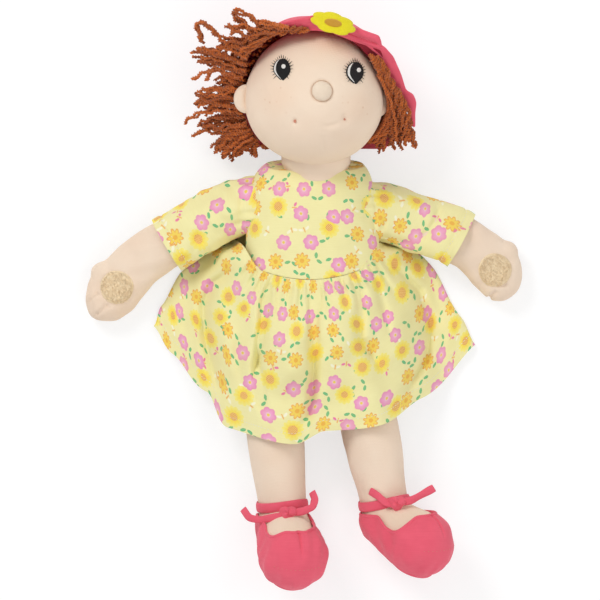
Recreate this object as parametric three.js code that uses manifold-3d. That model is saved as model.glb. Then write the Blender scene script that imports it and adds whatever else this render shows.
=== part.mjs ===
// A stuffed rag doll in a summer dress, lying on its back.
// Millimetres. +Z points up from the surface it lies on, +Y to the top of its head, +X to its own left.
// The origin is on that surface, under the middle of the chest.

import * as THREE from "three";
import { mergeVertices } from "three/addons/utils/BufferGeometryUtils.js";
import Module from "manifold-3d";

const wasm = await Module();
wasm.setup();

// Cloth and clearances
const clothThickness = 1.1;
const clearance = 0.35;
const restDepth = 0.5; // how deep a soft part is pressed flat where it lies

// Torso, from the crotch seam to the shoulder seam
const torsoWidth = 98;
const torsoDepth = 56;
const crotchY = -96;
const shoulderTopY = 66;
const crotchDome = 30;
const shoulderDome = 23;
const shoulderNarrowing = 9; // the shoulders are this much narrower than the hips
const hipMiddleX = 5; // the hips lie a little to one side of the chest

// Neck
const neckRadius = 20;
const neckX = 4.5;
const neckSides = 20;
const neckZ = 36;
const neckBaseY = 43;
const neckBallRadius = 21.5;
const neckBallY = 76;
const nodDegrees = 13; // how far the socket lets the neck tip
const chinTurnDegrees = 60; // the turn and the nod that the chest leaves the chin free for
const chinNodDegrees = 8;
const chinSides = 16;
const chinRows = 10;

// Head
const headWidth = 107;
const headHeight = 107;
const headDepth = 98;
const headX = 4.5;
const headY = 112;
const headTurnDegrees = 4.6;
const chinRoom = 2; // the chest is pressed in to leave the chin this much room
const hairPadThickness = 6;
const hairPadReach = 6; // how far the pad shows in front of the hat's rim
const hairNapeReach = 40;

// Face, measured from its own middle
const noseDiameter = 14.5;
const noseStandsOut = 5;
const noseRise = 7;
const eyeWidth = 11;
const eyeHeight = 16.5;
const eyeSpacing = 54.5;
const eyeRise = 23;
const eyeTaper = 0.35;
const eyeWhiteWidth = 1.8;
const eyeGlintDiameter = 3.2;
const eyeGlintAcross = 1.5;
const eyeGlintRise = 2.3;
const mouthWidth = 38;
const mouthDrop = 16;
const mouthStitchLength = 5;
const mouthStitchWidth = 2.2;
const embroideryThickness = 0.7;
const earHeight = 23;
const earThickness = 9;
const earStandsOut = 8;

// Arms, each one stuffed piece with a mitten hand
const armRootRadius = 13.5;
const rootEase = 0.3; // more room round the ball that a limb turns on
const armWidth = 36;
const armDepth = 31;
const wristWidth = 31;
const handWidth = 39;
const handDepth = 24;
const wristDepth = 26;
const fingerDome = 14.4; // how far the fingers' round end reaches back
const fingerTipWidth = 28;
const thumbLength = 24;
const thumbDiameter = 16;
const fingerGrooveWidth = 1.2;
const fingerGrooveLength = 12;
const palmPatchDiameter = 25;
const palmPatchThickness = 1.8;
const armRoute = {
  right: [[-56, 31, 22], [-82, 17.5, 18], [-109, 3.5, 17.5], [-129, -10, 15], [-145, -28, 12], [-163, -51, 11.5]],
  left: [[58.5, 28, 22], [82, 19, 19], [110, 8.6, 20], [128, -3, 17], [139, -15, 12], [146, -38, 11.5]],
};
const thumbWay = { right: [-0.8, 0.55, 0.1], left: [0.6, 0.78, 0.1] };

// Legs and feet
const hipRadius = 20;
const sitDegrees = 90; // how far the lap leaves the legs free to rise
const thighDiameter = 43;
const ankleDiameter = 35;
const legRoute = {
  right: [[-28.5, -101, 25], [-25, -150, 23.5], [-21, -190, 20.5], [-20.5, -205, 19.8]],
  left: [[39, -101, 25], [47, -145, 23.5], [55, -185, 20.5], [57.5, -203, 19.8]],
};
const heelDiameter = 37;
const toeDiameter = 47.5;
const footReach = 36; // between the middles of the heel and of the toe
const footWay = { right: [0, -0.66, 0.75], left: [0.69, -0.47, 0.55] };
const heelHeight = 13; // from the heel's middle to the sole
const toeHeight = 17; // from the toe's middle to the sole

// Shoes
const shoeCloth = 1.3;
const vampPlace = 28; // the opening's front edge, forward of the heel's middle
const vampRise = 20;
const heelBackRise = -3;
const soleThickness = 2.2;
const soleMargin = 1.2;
const strapPlace = 13.5; // the ankle tie's middle, above the heel's middle
const strapWidth = 7.5;
const strapThickness = 2;
const knotWidth = 12;
const knotHeight = 8;
const knotLength = 10;
const tieWidth = 6;
const tieThickness = 1.8;
const tieLength = 26;

// Dress
const waistDrop = 22; // the waist seam's lowest point, below the origin
const waistArcRadius = 100;
const neckOpeningX = 29;
const neckOpeningY = 18;
const neckOpeningZ = 40;
const neckOpeningPlace = 72.5;
const neckOpeningSides = 24;
const armholeRadius = 17.5;
const sleeveWidth = 43;
const sleeveDepth = 35.5;
const sleeveLength = 59;
const skirtLength = 124;
const skirtDrape = 0.85; // how steeply the cloth falls from the body to the floor
const skirtFolds = 9;
const skirtFoldHeight = 5;
const skirtHemRiseRight = [[0, 45], [0.09, 37], [0.22, 24], [0.3, 4], [0.46, 0]];
const skirtHemRise = [...skirtHemRiseRight, [0.54, 10], [0.68, 8], [0.8, 17], [1, 30]];
const skirtSideRight = [[0, 35], [0.2, 40], [0.5, 45], [0.8, 43], [1, 41]];
const skirtSideLeft = [[0, 35], [0.15, 41], [0.4, 43.5], [0.75, 41.5], [1, 39.8]];
const closureX = 15;
const closureY = 14;
const closureSlit = 0.8;
const closureStripWidth = 14;
const closureStripLength = 52;
const closureStripThickness = 1.4;

// Hat
const hatWidth = 129;
const hatHeight = 128;
const hatCloth = 1.6;
const hatEase = 0.9; // room between the hat and the hair
const rimSlopeUp = 0.8; // how fast the rim comes forward towards the top of the head
const rimSlopeAcross = 0.12;
const rimBack = 12; // how far the rim lies behind the middle of the head
const hatNapeReach = 36;
const brimWidth = 4;
const brimFlapWidth = 12;
const brimThickness = 2.4;
const brimWaves = 7;
const brimWaveHeight = 1.1;
const brimTopRoom = 8; // the brim's outline is this much longer than the hat is high
const flowerDiameter = 34;
const flowerThickness = 2;
const flowerPetals = 7;
const flowerHeartDiameter = 13;
const flowerHeartThickness = 1.6;
const flowerAcross = 12.5;
const flowerBack = 9; // how far behind the rim its middle lies

// Hair
const lockRadius = 5.6;
const lockTipRadius = 3.2;
const lockBow = 7; // how far the left locks bow outwards
const lockLift = 10; // the locks' middle line, in front of the rim
const leftLocks = 5;
const leftLockReach = [[0, 60], [0.35, 64], [0.6, 70], [1, 80]];
const rightLocks = 10;
const rightLockReach = [[0, 88], [0.2, 109], [0.5, 98], [0.7, 104], [0.85, 91], [1, 74]];
const fringeCurls = 8;
const fringeCurlRadius = 4.2;

const materials = {
  skin: new THREE.MeshStandardMaterial({ color: 0xe9cfb6, roughness: 0.9, metalness: 0 }),
  dress: new THREE.MeshStandardMaterial({ color: 0xe9dd93, roughness: 0.85, metalness: 0 }),
  red: new THREE.MeshStandardMaterial({ color: 0xcf4560, roughness: 0.9, metalness: 0 }),
  yarn: new THREE.MeshStandardMaterial({ color: 0x8a431b, roughness: 1, metalness: 0 }),
  black: new THREE.MeshStandardMaterial({ color: 0x1c1c1e, roughness: 0.6, metalness: 0 }),
  white: new THREE.MeshStandardMaterial({ color: 0xf2efe8, roughness: 0.7, metalness: 0 }),
  blush: new THREE.MeshStandardMaterial({ color: 0xc98a72, roughness: 0.8, metalness: 0 }),
  hook: new THREE.MeshStandardMaterial({ color: 0xd9b98d, roughness: 1, metalness: 0 }),
  felt: new THREE.MeshStandardMaterial({ color: 0xe8dc2e, roughness: 1, metalness: 0 }),
  heart: new THREE.MeshStandardMaterial({ color: 0xd9a91e, roughness: 1, metalness: 0 }),
};

const doll = new THREE.Group();
const vec = (x, y, z) => new THREE.Vector3(x, y, z);
const mix = THREE.MathUtils.lerp;
const smooth = (a, b, v) => THREE.MathUtils.smoothstep(v, a, b);
const radians = THREE.MathUtils.degToRad;
const upward = vec(0, 0, 1);

// A closed geometry as a solid that can be joined and cut.
function solid(geometry) {
  const bare = new THREE.BufferGeometry();
  bare.setAttribute("position", geometry.getAttribute("position"));
  bare.setIndex(geometry.index);
  const merged = mergeVertices(bare, 1e-4);
  return new wasm.Manifold(
    new wasm.Mesh({
      numProp: 3,
      vertProperties: new Float32Array(merged.attributes.position.array),
      triVerts: new Uint32Array(merged.index.array),
    }),
  );
}

// A solid from points and faces, turned to face out.
function solidFrom(points, faces) {
  const geometry = new THREE.BufferGeometry();
  geometry.setAttribute("position", new THREE.Float32BufferAttribute(points, 3));
  geometry.setIndex(faces);
  const made = solid(geometry);
  if (made.volume() > 0) return made;
  for (let i = 0; i < faces.length; i += 3) [faces[i + 1], faces[i + 2]] = [faces[i + 2], faces[i + 1]];
  geometry.setIndex(faces);
  return solid(geometry);
}

// The largest body of a solid that cuts have left with crumbs.
function largest(shape) {
  return shape.decompose().sort((a, b) => b.volume() - a.volume())[0];
}

// Puts a solid in the doll as a named piece.
function piece(name, material, shape) {
  const { vertProperties, triVerts, numProp, numVert } = largest(shape).getMesh();
  const positions = new Float32Array(numVert * 3);
  for (let i = 0; i < numVert; i++) {
    positions.set(vertProperties.subarray(i * numProp, i * numProp + 3), i * 3);
  }
  const geometry = new THREE.BufferGeometry();
  geometry.setAttribute("position", new THREE.BufferAttribute(positions, 3));
  geometry.setIndex(new THREE.BufferAttribute(triVerts, 1));
  geometry.computeVertexNormals();
  const mesh = new THREE.Mesh(geometry, material);
  mesh.name = name;
  doll.add(mesh);
}

// A closed skin over rings of points, with a fan over the first and the last ring.
function skin(rings) {
  const sides = rings[0].length;
  const points = [];
  const faces = [];
  for (const ring of rings) for (const p of ring) points.push(p.x, p.y, p.z);
  for (let i = 0; i + 1 < rings.length; i++)
    for (let j = 0; j < sides; j++) {
      const a = i * sides + j;
      const b = i * sides + ((j + 1) % sides);
      faces.push(a, b, a + sides, b, b + sides, a + sides);
    }
  const ends = [[rings[0], 0, true], [rings.at(-1), (rings.length - 1) * sides, false]];
  for (const [ring, start, turned] of ends) {
    const middle = ring.reduce((sum, p) => sum.add(p), vec(0, 0, 0)).divideScalar(sides);
    const index = points.length / 3;
    points.push(middle.x, middle.y, middle.z);
    for (let j = 0; j < sides; j++) {
      const a = start + j;
      const b = start + ((j + 1) % sides);
      faces.push(index, ...(turned ? [b, a] : [a, b]));
    }
  }
  return solidFrom(points, faces);
}

// A value that runs smoothly through [place, value] pairs.
function through(pairs, t) {
  for (let i = 0; i + 1 < pairs.length; i++) {
    const [t0, v0] = pairs[i];
    const [t1, v1] = pairs[i + 1];
    if (t <= t1) return mix(v0, v1, smooth(t0, t1, t));
  }
  return pairs.at(-1)[1];
}

// A stuffed tube: half widths and half depths along a curve, with domed ends, made larger all round by grow
function stuffed({ curve, halfWidth, halfDepth, startDome, endDome, rings, sides, grow = 0, flat = upward }) {
  const length = curve.getLength();
  const dome = (v) => (v >= 1 ? 1 : Math.sqrt(Math.max(0, 1 - (1 - v) ** 2)));
  const made = [];
  for (let i = 0; i <= rings; i++) {
    const share = mix(0.001, 0.999, (1 - Math.cos((Math.PI * i) / rings)) / 2);
    const along = share * (length + 2 * grow) - grow;
    const t = THREE.MathUtils.clamp(along / length, 0, 1);
    const tangent = curve.getTangentAt(t);
    const middle = curve.getPointAt(t).addScaledVector(tangent, along - t * length);
    const across = vec(0, 0, 0).crossVectors(tangent, flat).normalize();
    const deep = vec(0, 0, 0).crossVectors(across, tangent).normalize();
    const round = dome((along + grow) / (startDome + grow)) * dome((length - along + grow) / (endDome + grow));
    const ring = [];
    for (let j = 0; j < sides; j++) {
      const angle = (2 * Math.PI * j) / sides;
      const wide = (halfWidth(t) + grow) * round * Math.cos(angle);
      const high = (halfDepth(t) + grow) * round * Math.sin(angle);
      ring.push(middle.clone().addScaledVector(across, wide).addScaledVector(deep, high));
    }
    made.push(ring);
  }
  return skin(made);
}

function ellipsoid(middle, rx, ry, rz, around = 20, down = 12) {
  const geometry = new THREE.SphereGeometry(1, around, down);
  geometry.rotateX(Math.PI / 2);
  geometry.scale(rx, ry, rz);
  geometry.translate(middle.x, middle.y, middle.z);
  return solid(geometry);
}

// A round bar from one point to another, with a radius at each end.
function bar(from, to, radiusFrom, radiusTo = radiusFrom, sides = 24) {
  const geometry = new THREE.CylinderGeometry(radiusTo, radiusFrom, from.distanceTo(to), sides);
  const way = to.clone().sub(from).normalize();
  geometry.applyQuaternion(new THREE.Quaternion().setFromUnitVectors(vec(0, 1, 0), way));
  const middle = from.clone().add(to).multiplyScalar(0.5);
  geometry.translate(middle.x, middle.y, middle.z);
  return solid(geometry);
}

function block(low, high) {
  const size = high.clone().sub(low);
  const geometry = new THREE.BoxGeometry(size.x, size.y, size.z);
  const middle = low.clone().add(high).multiplyScalar(0.5);
  geometry.translate(middle.x, middle.y, middle.z);
  return solid(geometry);
}

// All that lies beyond a plane, on the side that its normal faces.
const farAway = 700;
function beyond(point, normal) {
  const geometry = new THREE.BoxGeometry(farAway, farAway, farAway);
  geometry.translate(0, 0, farAway / 2);
  geometry.applyQuaternion(new THREE.Quaternion().setFromUnitVectors(upward, normal.clone().normalize()));
  geometry.translate(point.x, point.y, point.z);
  return solid(geometry);
}
const above = (z) => beyond(vec(0, 0, z), upward);
const aboveFloor = above(0);
const aboveCloth = above(clothThickness + clearance);

// A flat outline, drawn in millimetres, raised along a normal between two heights from a point.
function raised(outline, point, normal, low, high, across = vec(1, 0, 0)) {
  const geometry = new THREE.ExtrudeGeometry(outline, { depth: high - low, bevelEnabled: false });
  geometry.translate(0, 0, low);
  const z = normal.clone().normalize();
  const x = across.clone().addScaledVector(z, -across.dot(z)).normalize();
  const y = vec(0, 0, 0).crossVectors(z, x);
  geometry.applyMatrix4(new THREE.Matrix4().makeBasis(x, y, z).setPosition(point));
  return solid(geometry);
}

// A closed outline whose radius is given for each angle.
function rounded(steps, radius) {
  const points = [];
  for (let i = 0; i < steps; i++) {
    const angle = (2 * Math.PI * i) / steps;
    const [x, y] = radius(angle);
    points.push(new THREE.Vector2(x, y));
  }
  return new THREE.Shape(points);
}

// Torso: a stuffed bag, widest at the hips, that lies on the back of the dress
const torsoZ = clothThickness + clearance - restDepth + torsoDepth / 2;
const torsoCurve = new THREE.LineCurve3(vec(hipMiddleX, crotchY, torsoZ), vec(0, shoulderTopY, torsoZ));
function torsoShape(grow) {
  return stuffed({
    curve: torsoCurve,
    halfWidth: (t) => (torsoWidth - shoulderNarrowing * smooth(0.55, 1, t)) / 2,
    halfDepth: () => torsoDepth / 2,
    startDome: crotchDome,
    endDome: shoulderDome,
    rings: 10,
    sides: 20,
    grow,
  });
}

// Neck: a plug in the torso's socket, with a ball at the top for the head to nod on
const neckBall = vec(neckX, neckBallY, neckZ);
function neckShape(grow) {
  const base = vec(neckX, neckBaseY - grow, neckZ);
  const shaft = bar(base, neckBall, neckRadius + grow, neckRadius + grow, neckSides);
  const radius = neckBallRadius + grow;
  return shaft.add(ellipsoid(neckBall, radius, radius, radius, neckSides));
}

// Head: a stuffed ball
const hatSeat = hatCloth + hatEase + hairPadThickness + 2 * clearance - restDepth;
const head = vec(headX, headY, hatSeat + headDepth / 2);
function headShape(grow, around = 24, down = 12) {
  return ellipsoid(head, headWidth / 2 + grow, headHeight / 2 + grow, headDepth / 2 + grow, around, down);
}

// The room that the head takes when it turns and nods
function headSweep(grow) {
  const nodded = new THREE.Matrix4()
    .makeTranslation(neckBall.x, neckBall.y, neckBall.z)
    .multiply(new THREE.Matrix4().makeRotationX(radians(chinNodDegrees)))
    .multiply(new THREE.Matrix4().makeTranslation(-neckBall.x, -neckBall.y, -neckBall.z));
  let swept = headShape(grow, chinSides, chinRows);
  for (const turn of [-1, -0.5, 0, 0.5, 1]) {
    const turned = new THREE.Matrix4()
      .makeTranslation(neckBall.x, neckBall.y, neckBall.z)
      .multiply(new THREE.Matrix4().makeRotationY(radians(turn * chinTurnDegrees)))
      .multiply(new THREE.Matrix4().makeTranslation(-neckBall.x, -neckBall.y, -neckBall.z))
      .multiply(nodded);
    swept = swept.add(headShape(grow, chinSides, chinRows).transform(turned.toArray()));
  }
  return swept;
}

// Arms and legs
const curveOf = (route) => new THREE.CatmullRomCurve3(route.map((p) => vec(...p)));
const sides = [["left", 1], ["right", -1]];
const limbs = Object.fromEntries(
  sides.map(([label, side]) => {
    const arm = curveOf(armRoute[label]);
    const leg = curveOf(legRoute[label]);
    const [shoulder, hip, heel] = [arm.getPoint(0), leg.getPoint(0), leg.getPoint(1)];
    return [label, { side, arm, leg, shoulder, hip, heel }];
  }),
);
function armShape(label, grow) {
  const { arm, shoulder } = limbs[label];
  const radius = armRootRadius + grow;
  const root = armRootRadius - 0.6;
  const halfWidths = [[0, root], [0.3, armWidth / 2], [0.6, wristWidth / 2], [0.8, handWidth / 2]];
  const halfDepths = [[0, root], [0.3, armDepth / 2], [0.6, wristDepth / 2], [0.8, handDepth / 2]];
  return stuffed({
    curve: arm,
    halfWidth: (t) => through([...halfWidths, [1, fingerTipWidth / 2]], t),
    halfDepth: (t) => through(halfDepths, t),
    startDome: 1,
    endDome: fingerDome,
    rings: 10,
    sides: 12,
    grow,
  }).add(ellipsoid(shoulder, radius, radius, radius, 14, 10));
}
function thumbShape(label, grow) {
  const from = limbs[label].arm.getPoint(0.78);
  const way = vec(...thumbWay[label]).normalize();
  return stuffed({
    curve: new THREE.LineCurve3(from, from.clone().addScaledVector(way, thumbLength)),
    halfWidth: () => thumbDiameter / 2,
    halfDepth: () => thumbDiameter / 2,
    startDome: thumbDiameter / 2,
    endDome: thumbDiameter / 2,
    rings: 5,
    sides: 8,
    grow,
  });
}
function legShape(label, grow) {
  const { leg, hip } = limbs[label];
  const radius = hipRadius + grow;
  const halfWidths = [[0, hipRadius - 0.6], [0.3, thighDiameter / 2], [1, ankleDiameter / 2]];
  return stuffed({
    curve: leg,
    halfWidth: (t) => through(halfWidths, t),
    halfDepth: (t) => through(halfWidths, t),
    startDome: 1,
    endDome: 1,
    rings: 6,
    sides: 14,
    grow,
  }).add(ellipsoid(hip, radius, radius, radius, 14, 10));
}

// The room that a leg takes when it rises to sit
function legSweep(label, grow) {
  const { hip } = limbs[label];
  const radius = hipRadius + grow;
  const thigh = hip.clone().add(vec(0, -thighDiameter * 1.5, 0));
  const shaft = bar(hip, thigh, thighDiameter / 2 + grow, thighDiameter / 2 + grow, 16);
  let swept = ellipsoid(hip, radius, radius, radius, 14, 10);
  for (const share of [0, 0.4, 0.75, 1]) {
    const raisedLeg = new THREE.Matrix4()
      .makeTranslation(hip.x, hip.y, hip.z)
      .multiply(new THREE.Matrix4().makeRotationX(-radians(share * sitDegrees)))
      .multiply(new THREE.Matrix4().makeTranslation(-hip.x, -hip.y, -hip.z));
    swept = swept.add(shaft.transform(raisedLeg.toArray()));
  }
  return swept;
}

// The doll's body, where each smaller piece is cut by the larger one it is sewn to
const torso = torsoShape(0).intersect(aboveCloth);
const closureRoom = (grow) =>
  block(
    vec(closureX - closureStripWidth / 2 - grow, closureY - closureStripLength / 2 - grow, -1),
    vec(closureX + closureStripWidth / 2 + grow, closureY + closureStripLength / 2 + grow, torsoZ),
  );
const underCloth = clothThickness + clearance + closureStripThickness;
const closureStrip = torso.intersect(closureRoom(0)).subtract(above(underCloth));
const closureBed = closureRoom(clearance).subtract(above(underCloth + clearance));
const roots = (grow) =>
  sides.map(([label]) => {
    const { shoulder } = limbs[label];
    const arm = armRootRadius + grow;
    return ellipsoid(shoulder, arm, arm, arm, 14, 10).add(legSweep(label, grow));
  });
const [leftRoots, rightRoots] = roots(clearance + rootEase);
const chinHollow = headSweep(chinRoom + clothThickness);
piece("closure_strip", materials.white, closureStrip);
piece(
  "torso",
  materials.skin,
  torso
    .subtract(neckShape(clearance))
    .subtract(chinHollow)
    .subtract(closureBed)
    .subtract(leftRoots)
    .subtract(rightRoots),
);
piece("neck", materials.skin, neckShape(0));

// Bodice: the dress's body, open at the neck, at both armholes, at the waist and down the back
const waistMiddle = vec(0, waistArcRadius - waistDrop, 0);
const bodiceOuter = torsoShape(clearance + clothThickness).intersect(aboveFloor);
const bodiceInner = torsoShape(clearance).intersect(above(clothThickness));
const armhole = (label) => {
  const { side, shoulder } = limbs[label];
  const from = vec(side * (torsoWidth / 4), shoulder.y, shoulder.z);
  return bar(from, vec(side * torsoWidth, shoulder.y, shoulder.z), armholeRadius);
};
const neckOpening = vec(neckX, neckOpeningPlace, neckZ);
const neckline = ellipsoid(neckOpening, neckOpeningX, neckOpeningY, neckOpeningZ, neckOpeningSides);
const [waistLow, waistHigh] = [-1, 1].map((way) => waistMiddle.clone().setZ((way * farAway) / 4));
const waistColumn = bar(waistLow, waistHigh, waistArcRadius, waistArcRadius, 60);
piece(
  "bodice",
  materials.dress,
  bodiceOuter
    .subtract(bodiceInner)
    .intersect(waistColumn)
    .subtract(neckline)
    .subtract(neckShape(clearance))
    .subtract(headSweep(chinRoom))
    .subtract(armhole("left"))
    .subtract(armhole("right"))
    .subtract(block(vec(closureX, crotchY, -1), vec(closureX + closureSlit, shoulderTopY * 2, torsoZ))),
);

// Skirt: two gathered panels, sewn to the waist and lying open over the thighs and on the floor
const hold = (height, halfWidth, halfDepth, offset) => {
  const rise = Math.hypot(halfDepth, skirtDrape * halfWidth);
  const leaves = (halfWidth ** 2 * skirtDrape) / rise;
  if (Math.abs(offset) < leaves) return height + halfDepth * Math.sqrt(1 - (offset / halfWidth) ** 2);
  return height + rise - skirtDrape * Math.abs(offset);
};
const larger = (a, b, soft) => (a + b + Math.sqrt((a - b) ** 2 + soft ** 2)) / 2;
function bodyTop(x, y) {
  const t = (y - crotchY) / (shoulderTopY - crotchY);
  const belly = crotchY + crotchDome;
  const sag = 0.2 * Math.max(0, belly - y);
  let top = hold(torsoZ - sag, torsoWidth / 2, torsoDepth / 2, x - mix(hipMiddleX, 0, t));
  for (const [label] of sides) {
    const { leg } = limbs[label];
    const [start, next] = [leg.getPoint(0), leg.getPoint(0.34)];
    const legX = mix(start.x, next.x, (y - start.y) / (next.y - start.y));
    const radius = thighDiameter / 2;
    top = larger(top, hold(start.z - 1, radius, radius, x - legX), 5);
  }
  return top;
}
function skirtPoint(u, v) {
  const span = through(u < 0.5 ? skirtSideRight : skirtSideLeft, v);
  const angle = radians((2 * u - 1) * span);
  const reach = waistArcRadius + clearance + v * (skirtLength - through(skirtHemRise, u) - clearance);
  return vec(waistMiddle.x + reach * Math.sin(angle), waistMiddle.y - reach * Math.cos(angle), 0);
}
const overBack = clothThickness + clearance;
function frontPoint(u, v) {
  const point = skirtPoint(u, v);
  const side = smooth(0, 0.09, Math.min(u, 1 - u));
  const gathers = Math.min(1, 0.25 + v) * skirtFoldHeight;
  const wave = (1 + Math.cos(2 * Math.PI * skirtFolds * (u + 0.03 * Math.sin(5 * v + 9 * u)))) / 2;
  const size = 0.55 + 0.45 * Math.sin(17 * u + 1);
  const lowest = larger(overBack, bodyTop(point.x, point.y) + clearance, 3);
  return point.setZ(mix(overBack, lowest, side) + side * gathers * wave * size);
}
function panel(place, thickness, columns, rows) {
  const low = [];
  const high = [];
  for (let i = 0; i <= rows; i++)
    for (let j = 0; j <= columns; j++) {
      const [u, v] = [j / columns, i / rows];
      const step = 0.004;
      const [u0, v0] = [u, v].map((share) => Math.max(0, share - step));
      const [u1, v1] = [u, v].map((share) => Math.min(1, share + step));
      const across = place(u1, v).sub(place(u0, v));
      const down = place(u, v1).sub(place(u, v0));
      const normal = down.cross(across).normalize();
      const point = place(u, v);
      low.push(point);
      high.push(point.clone().addScaledVector(normal.z < 0 ? normal.negate() : normal, thickness));
    }
  const points = [...low, ...high].flatMap((p) => [p.x, p.y, p.z]);
  const layer = low.length;
  const at = (i, j) => i * (columns + 1) + j;
  const faces = [];
  for (let i = 0; i < rows; i++)
    for (let j = 0; j < columns; j++) {
      const [a, b, c, d] = [at(i, j), at(i, j + 1), at(i + 1, j + 1), at(i + 1, j)];
      faces.push(a, b, c, a, c, d, layer + a, layer + c, layer + b, layer + a, layer + d, layer + c);
    }
  const edge = [];
  for (let j = 0; j < columns; j++) edge.push(at(0, j));
  for (let i = 0; i < rows; i++) edge.push(at(i, columns));
  for (let j = columns; j > 0; j--) edge.push(at(rows, j));
  for (let i = rows; i > 0; i--) edge.push(at(i, 0));
  edge.forEach((a, k) => {
    const b = edge[(k + 1) % edge.length];
    faces.push(b, a, layer + a, b, layer + a, layer + b);
  });
  return solidFrom(points, faces);
}
piece("skirt_front", materials.dress, panel(frontPoint, clothThickness, 36, 6));
piece("skirt_back", materials.dress, panel(skirtPoint, clothThickness, 20, 3));

// Arms with mitten hands, their palm patches and sleeves
for (const [label, side] of sides) {
  const { arm, shoulder } = limbs[label];
  const palm = arm.getPoint(0.8);
  const whole = armShape(label, 0).add(thumbShape(label, 0));
  const taken = armShape(label, clearance).add(thumbShape(label, clearance));
  const patchRadius = palmPatchDiameter / 2;
  const patchRoom = bar(palm, palm.clone().setZ(palm.z + handDepth), patchRadius, patchRadius, 20);
  let carved = whole.intersect(aboveFloor);
  for (const [place, aside] of [[0.93, -0.12], [0.97, 0.2]]) {
    const from = arm.getPoint(place);
    const way = arm.getTangent(place);
    const across = vec(-way.y, way.x, 0).multiplyScalar(side * aside * handWidth);
    const groove = rounded(4, (a) => [
      (fingerGrooveWidth / 2) * Math.sign(Math.cos(a + 0.5)),
      fingerGrooveLength * Math.sign(Math.sin(a + 0.5)),
    ]);
    const blade = raised(groove, from.add(across), upward, 0, handDepth, vec(-way.y, way.x, 0));
    carved = carved.subtract(blade);
  }
  piece("arm_" + label, materials.skin, carved);
  const patchOuter = armShape(label, clearance + palmPatchThickness);
  piece("palm_patch_" + label, materials.hook, patchOuter.subtract(taken).intersect(patchRoom));

  const inside = vec(side * (torsoWidth / 4), shoulder.y + 3, torsoZ);
  const upperArm = armRoute[label].slice(0, 4).map((p) => vec(...p));
  const sleeveCurve = new THREE.CatmullRomCurve3([inside, ...upperArm]);
  const tube = (inset) =>
    stuffed({
      curve: sleeveCurve,
      halfWidth: () => sleeveWidth / 2 - inset,
      halfDepth: () => sleeveDepth / 2 - inset,
      startDome: 1,
      endDome: 1,
      rings: 6,
      sides: 16,
    });
  const hemShare = sleeveLength / arm.getLength();
  const hem = arm.getPointAt(hemShare);
  const hemWay = arm.getTangentAt(hemShare);
  const seam = torsoShape(2 * clearance + clothThickness);
  const past = beyond(vec(side * (torsoWidth / 2 - 8), 0, 0), vec(side, 0, 0));
  piece(
    "sleeve_" + label,
    materials.dress,
    tube(0)
      .intersect(aboveFloor)
      .subtract(tube(clothThickness).intersect(above(clothThickness)))
      .subtract(beyond(hem, hemWay))
      .subtract(seam)
      .subtract(taken)
      .intersect(past),
  );
}

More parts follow.
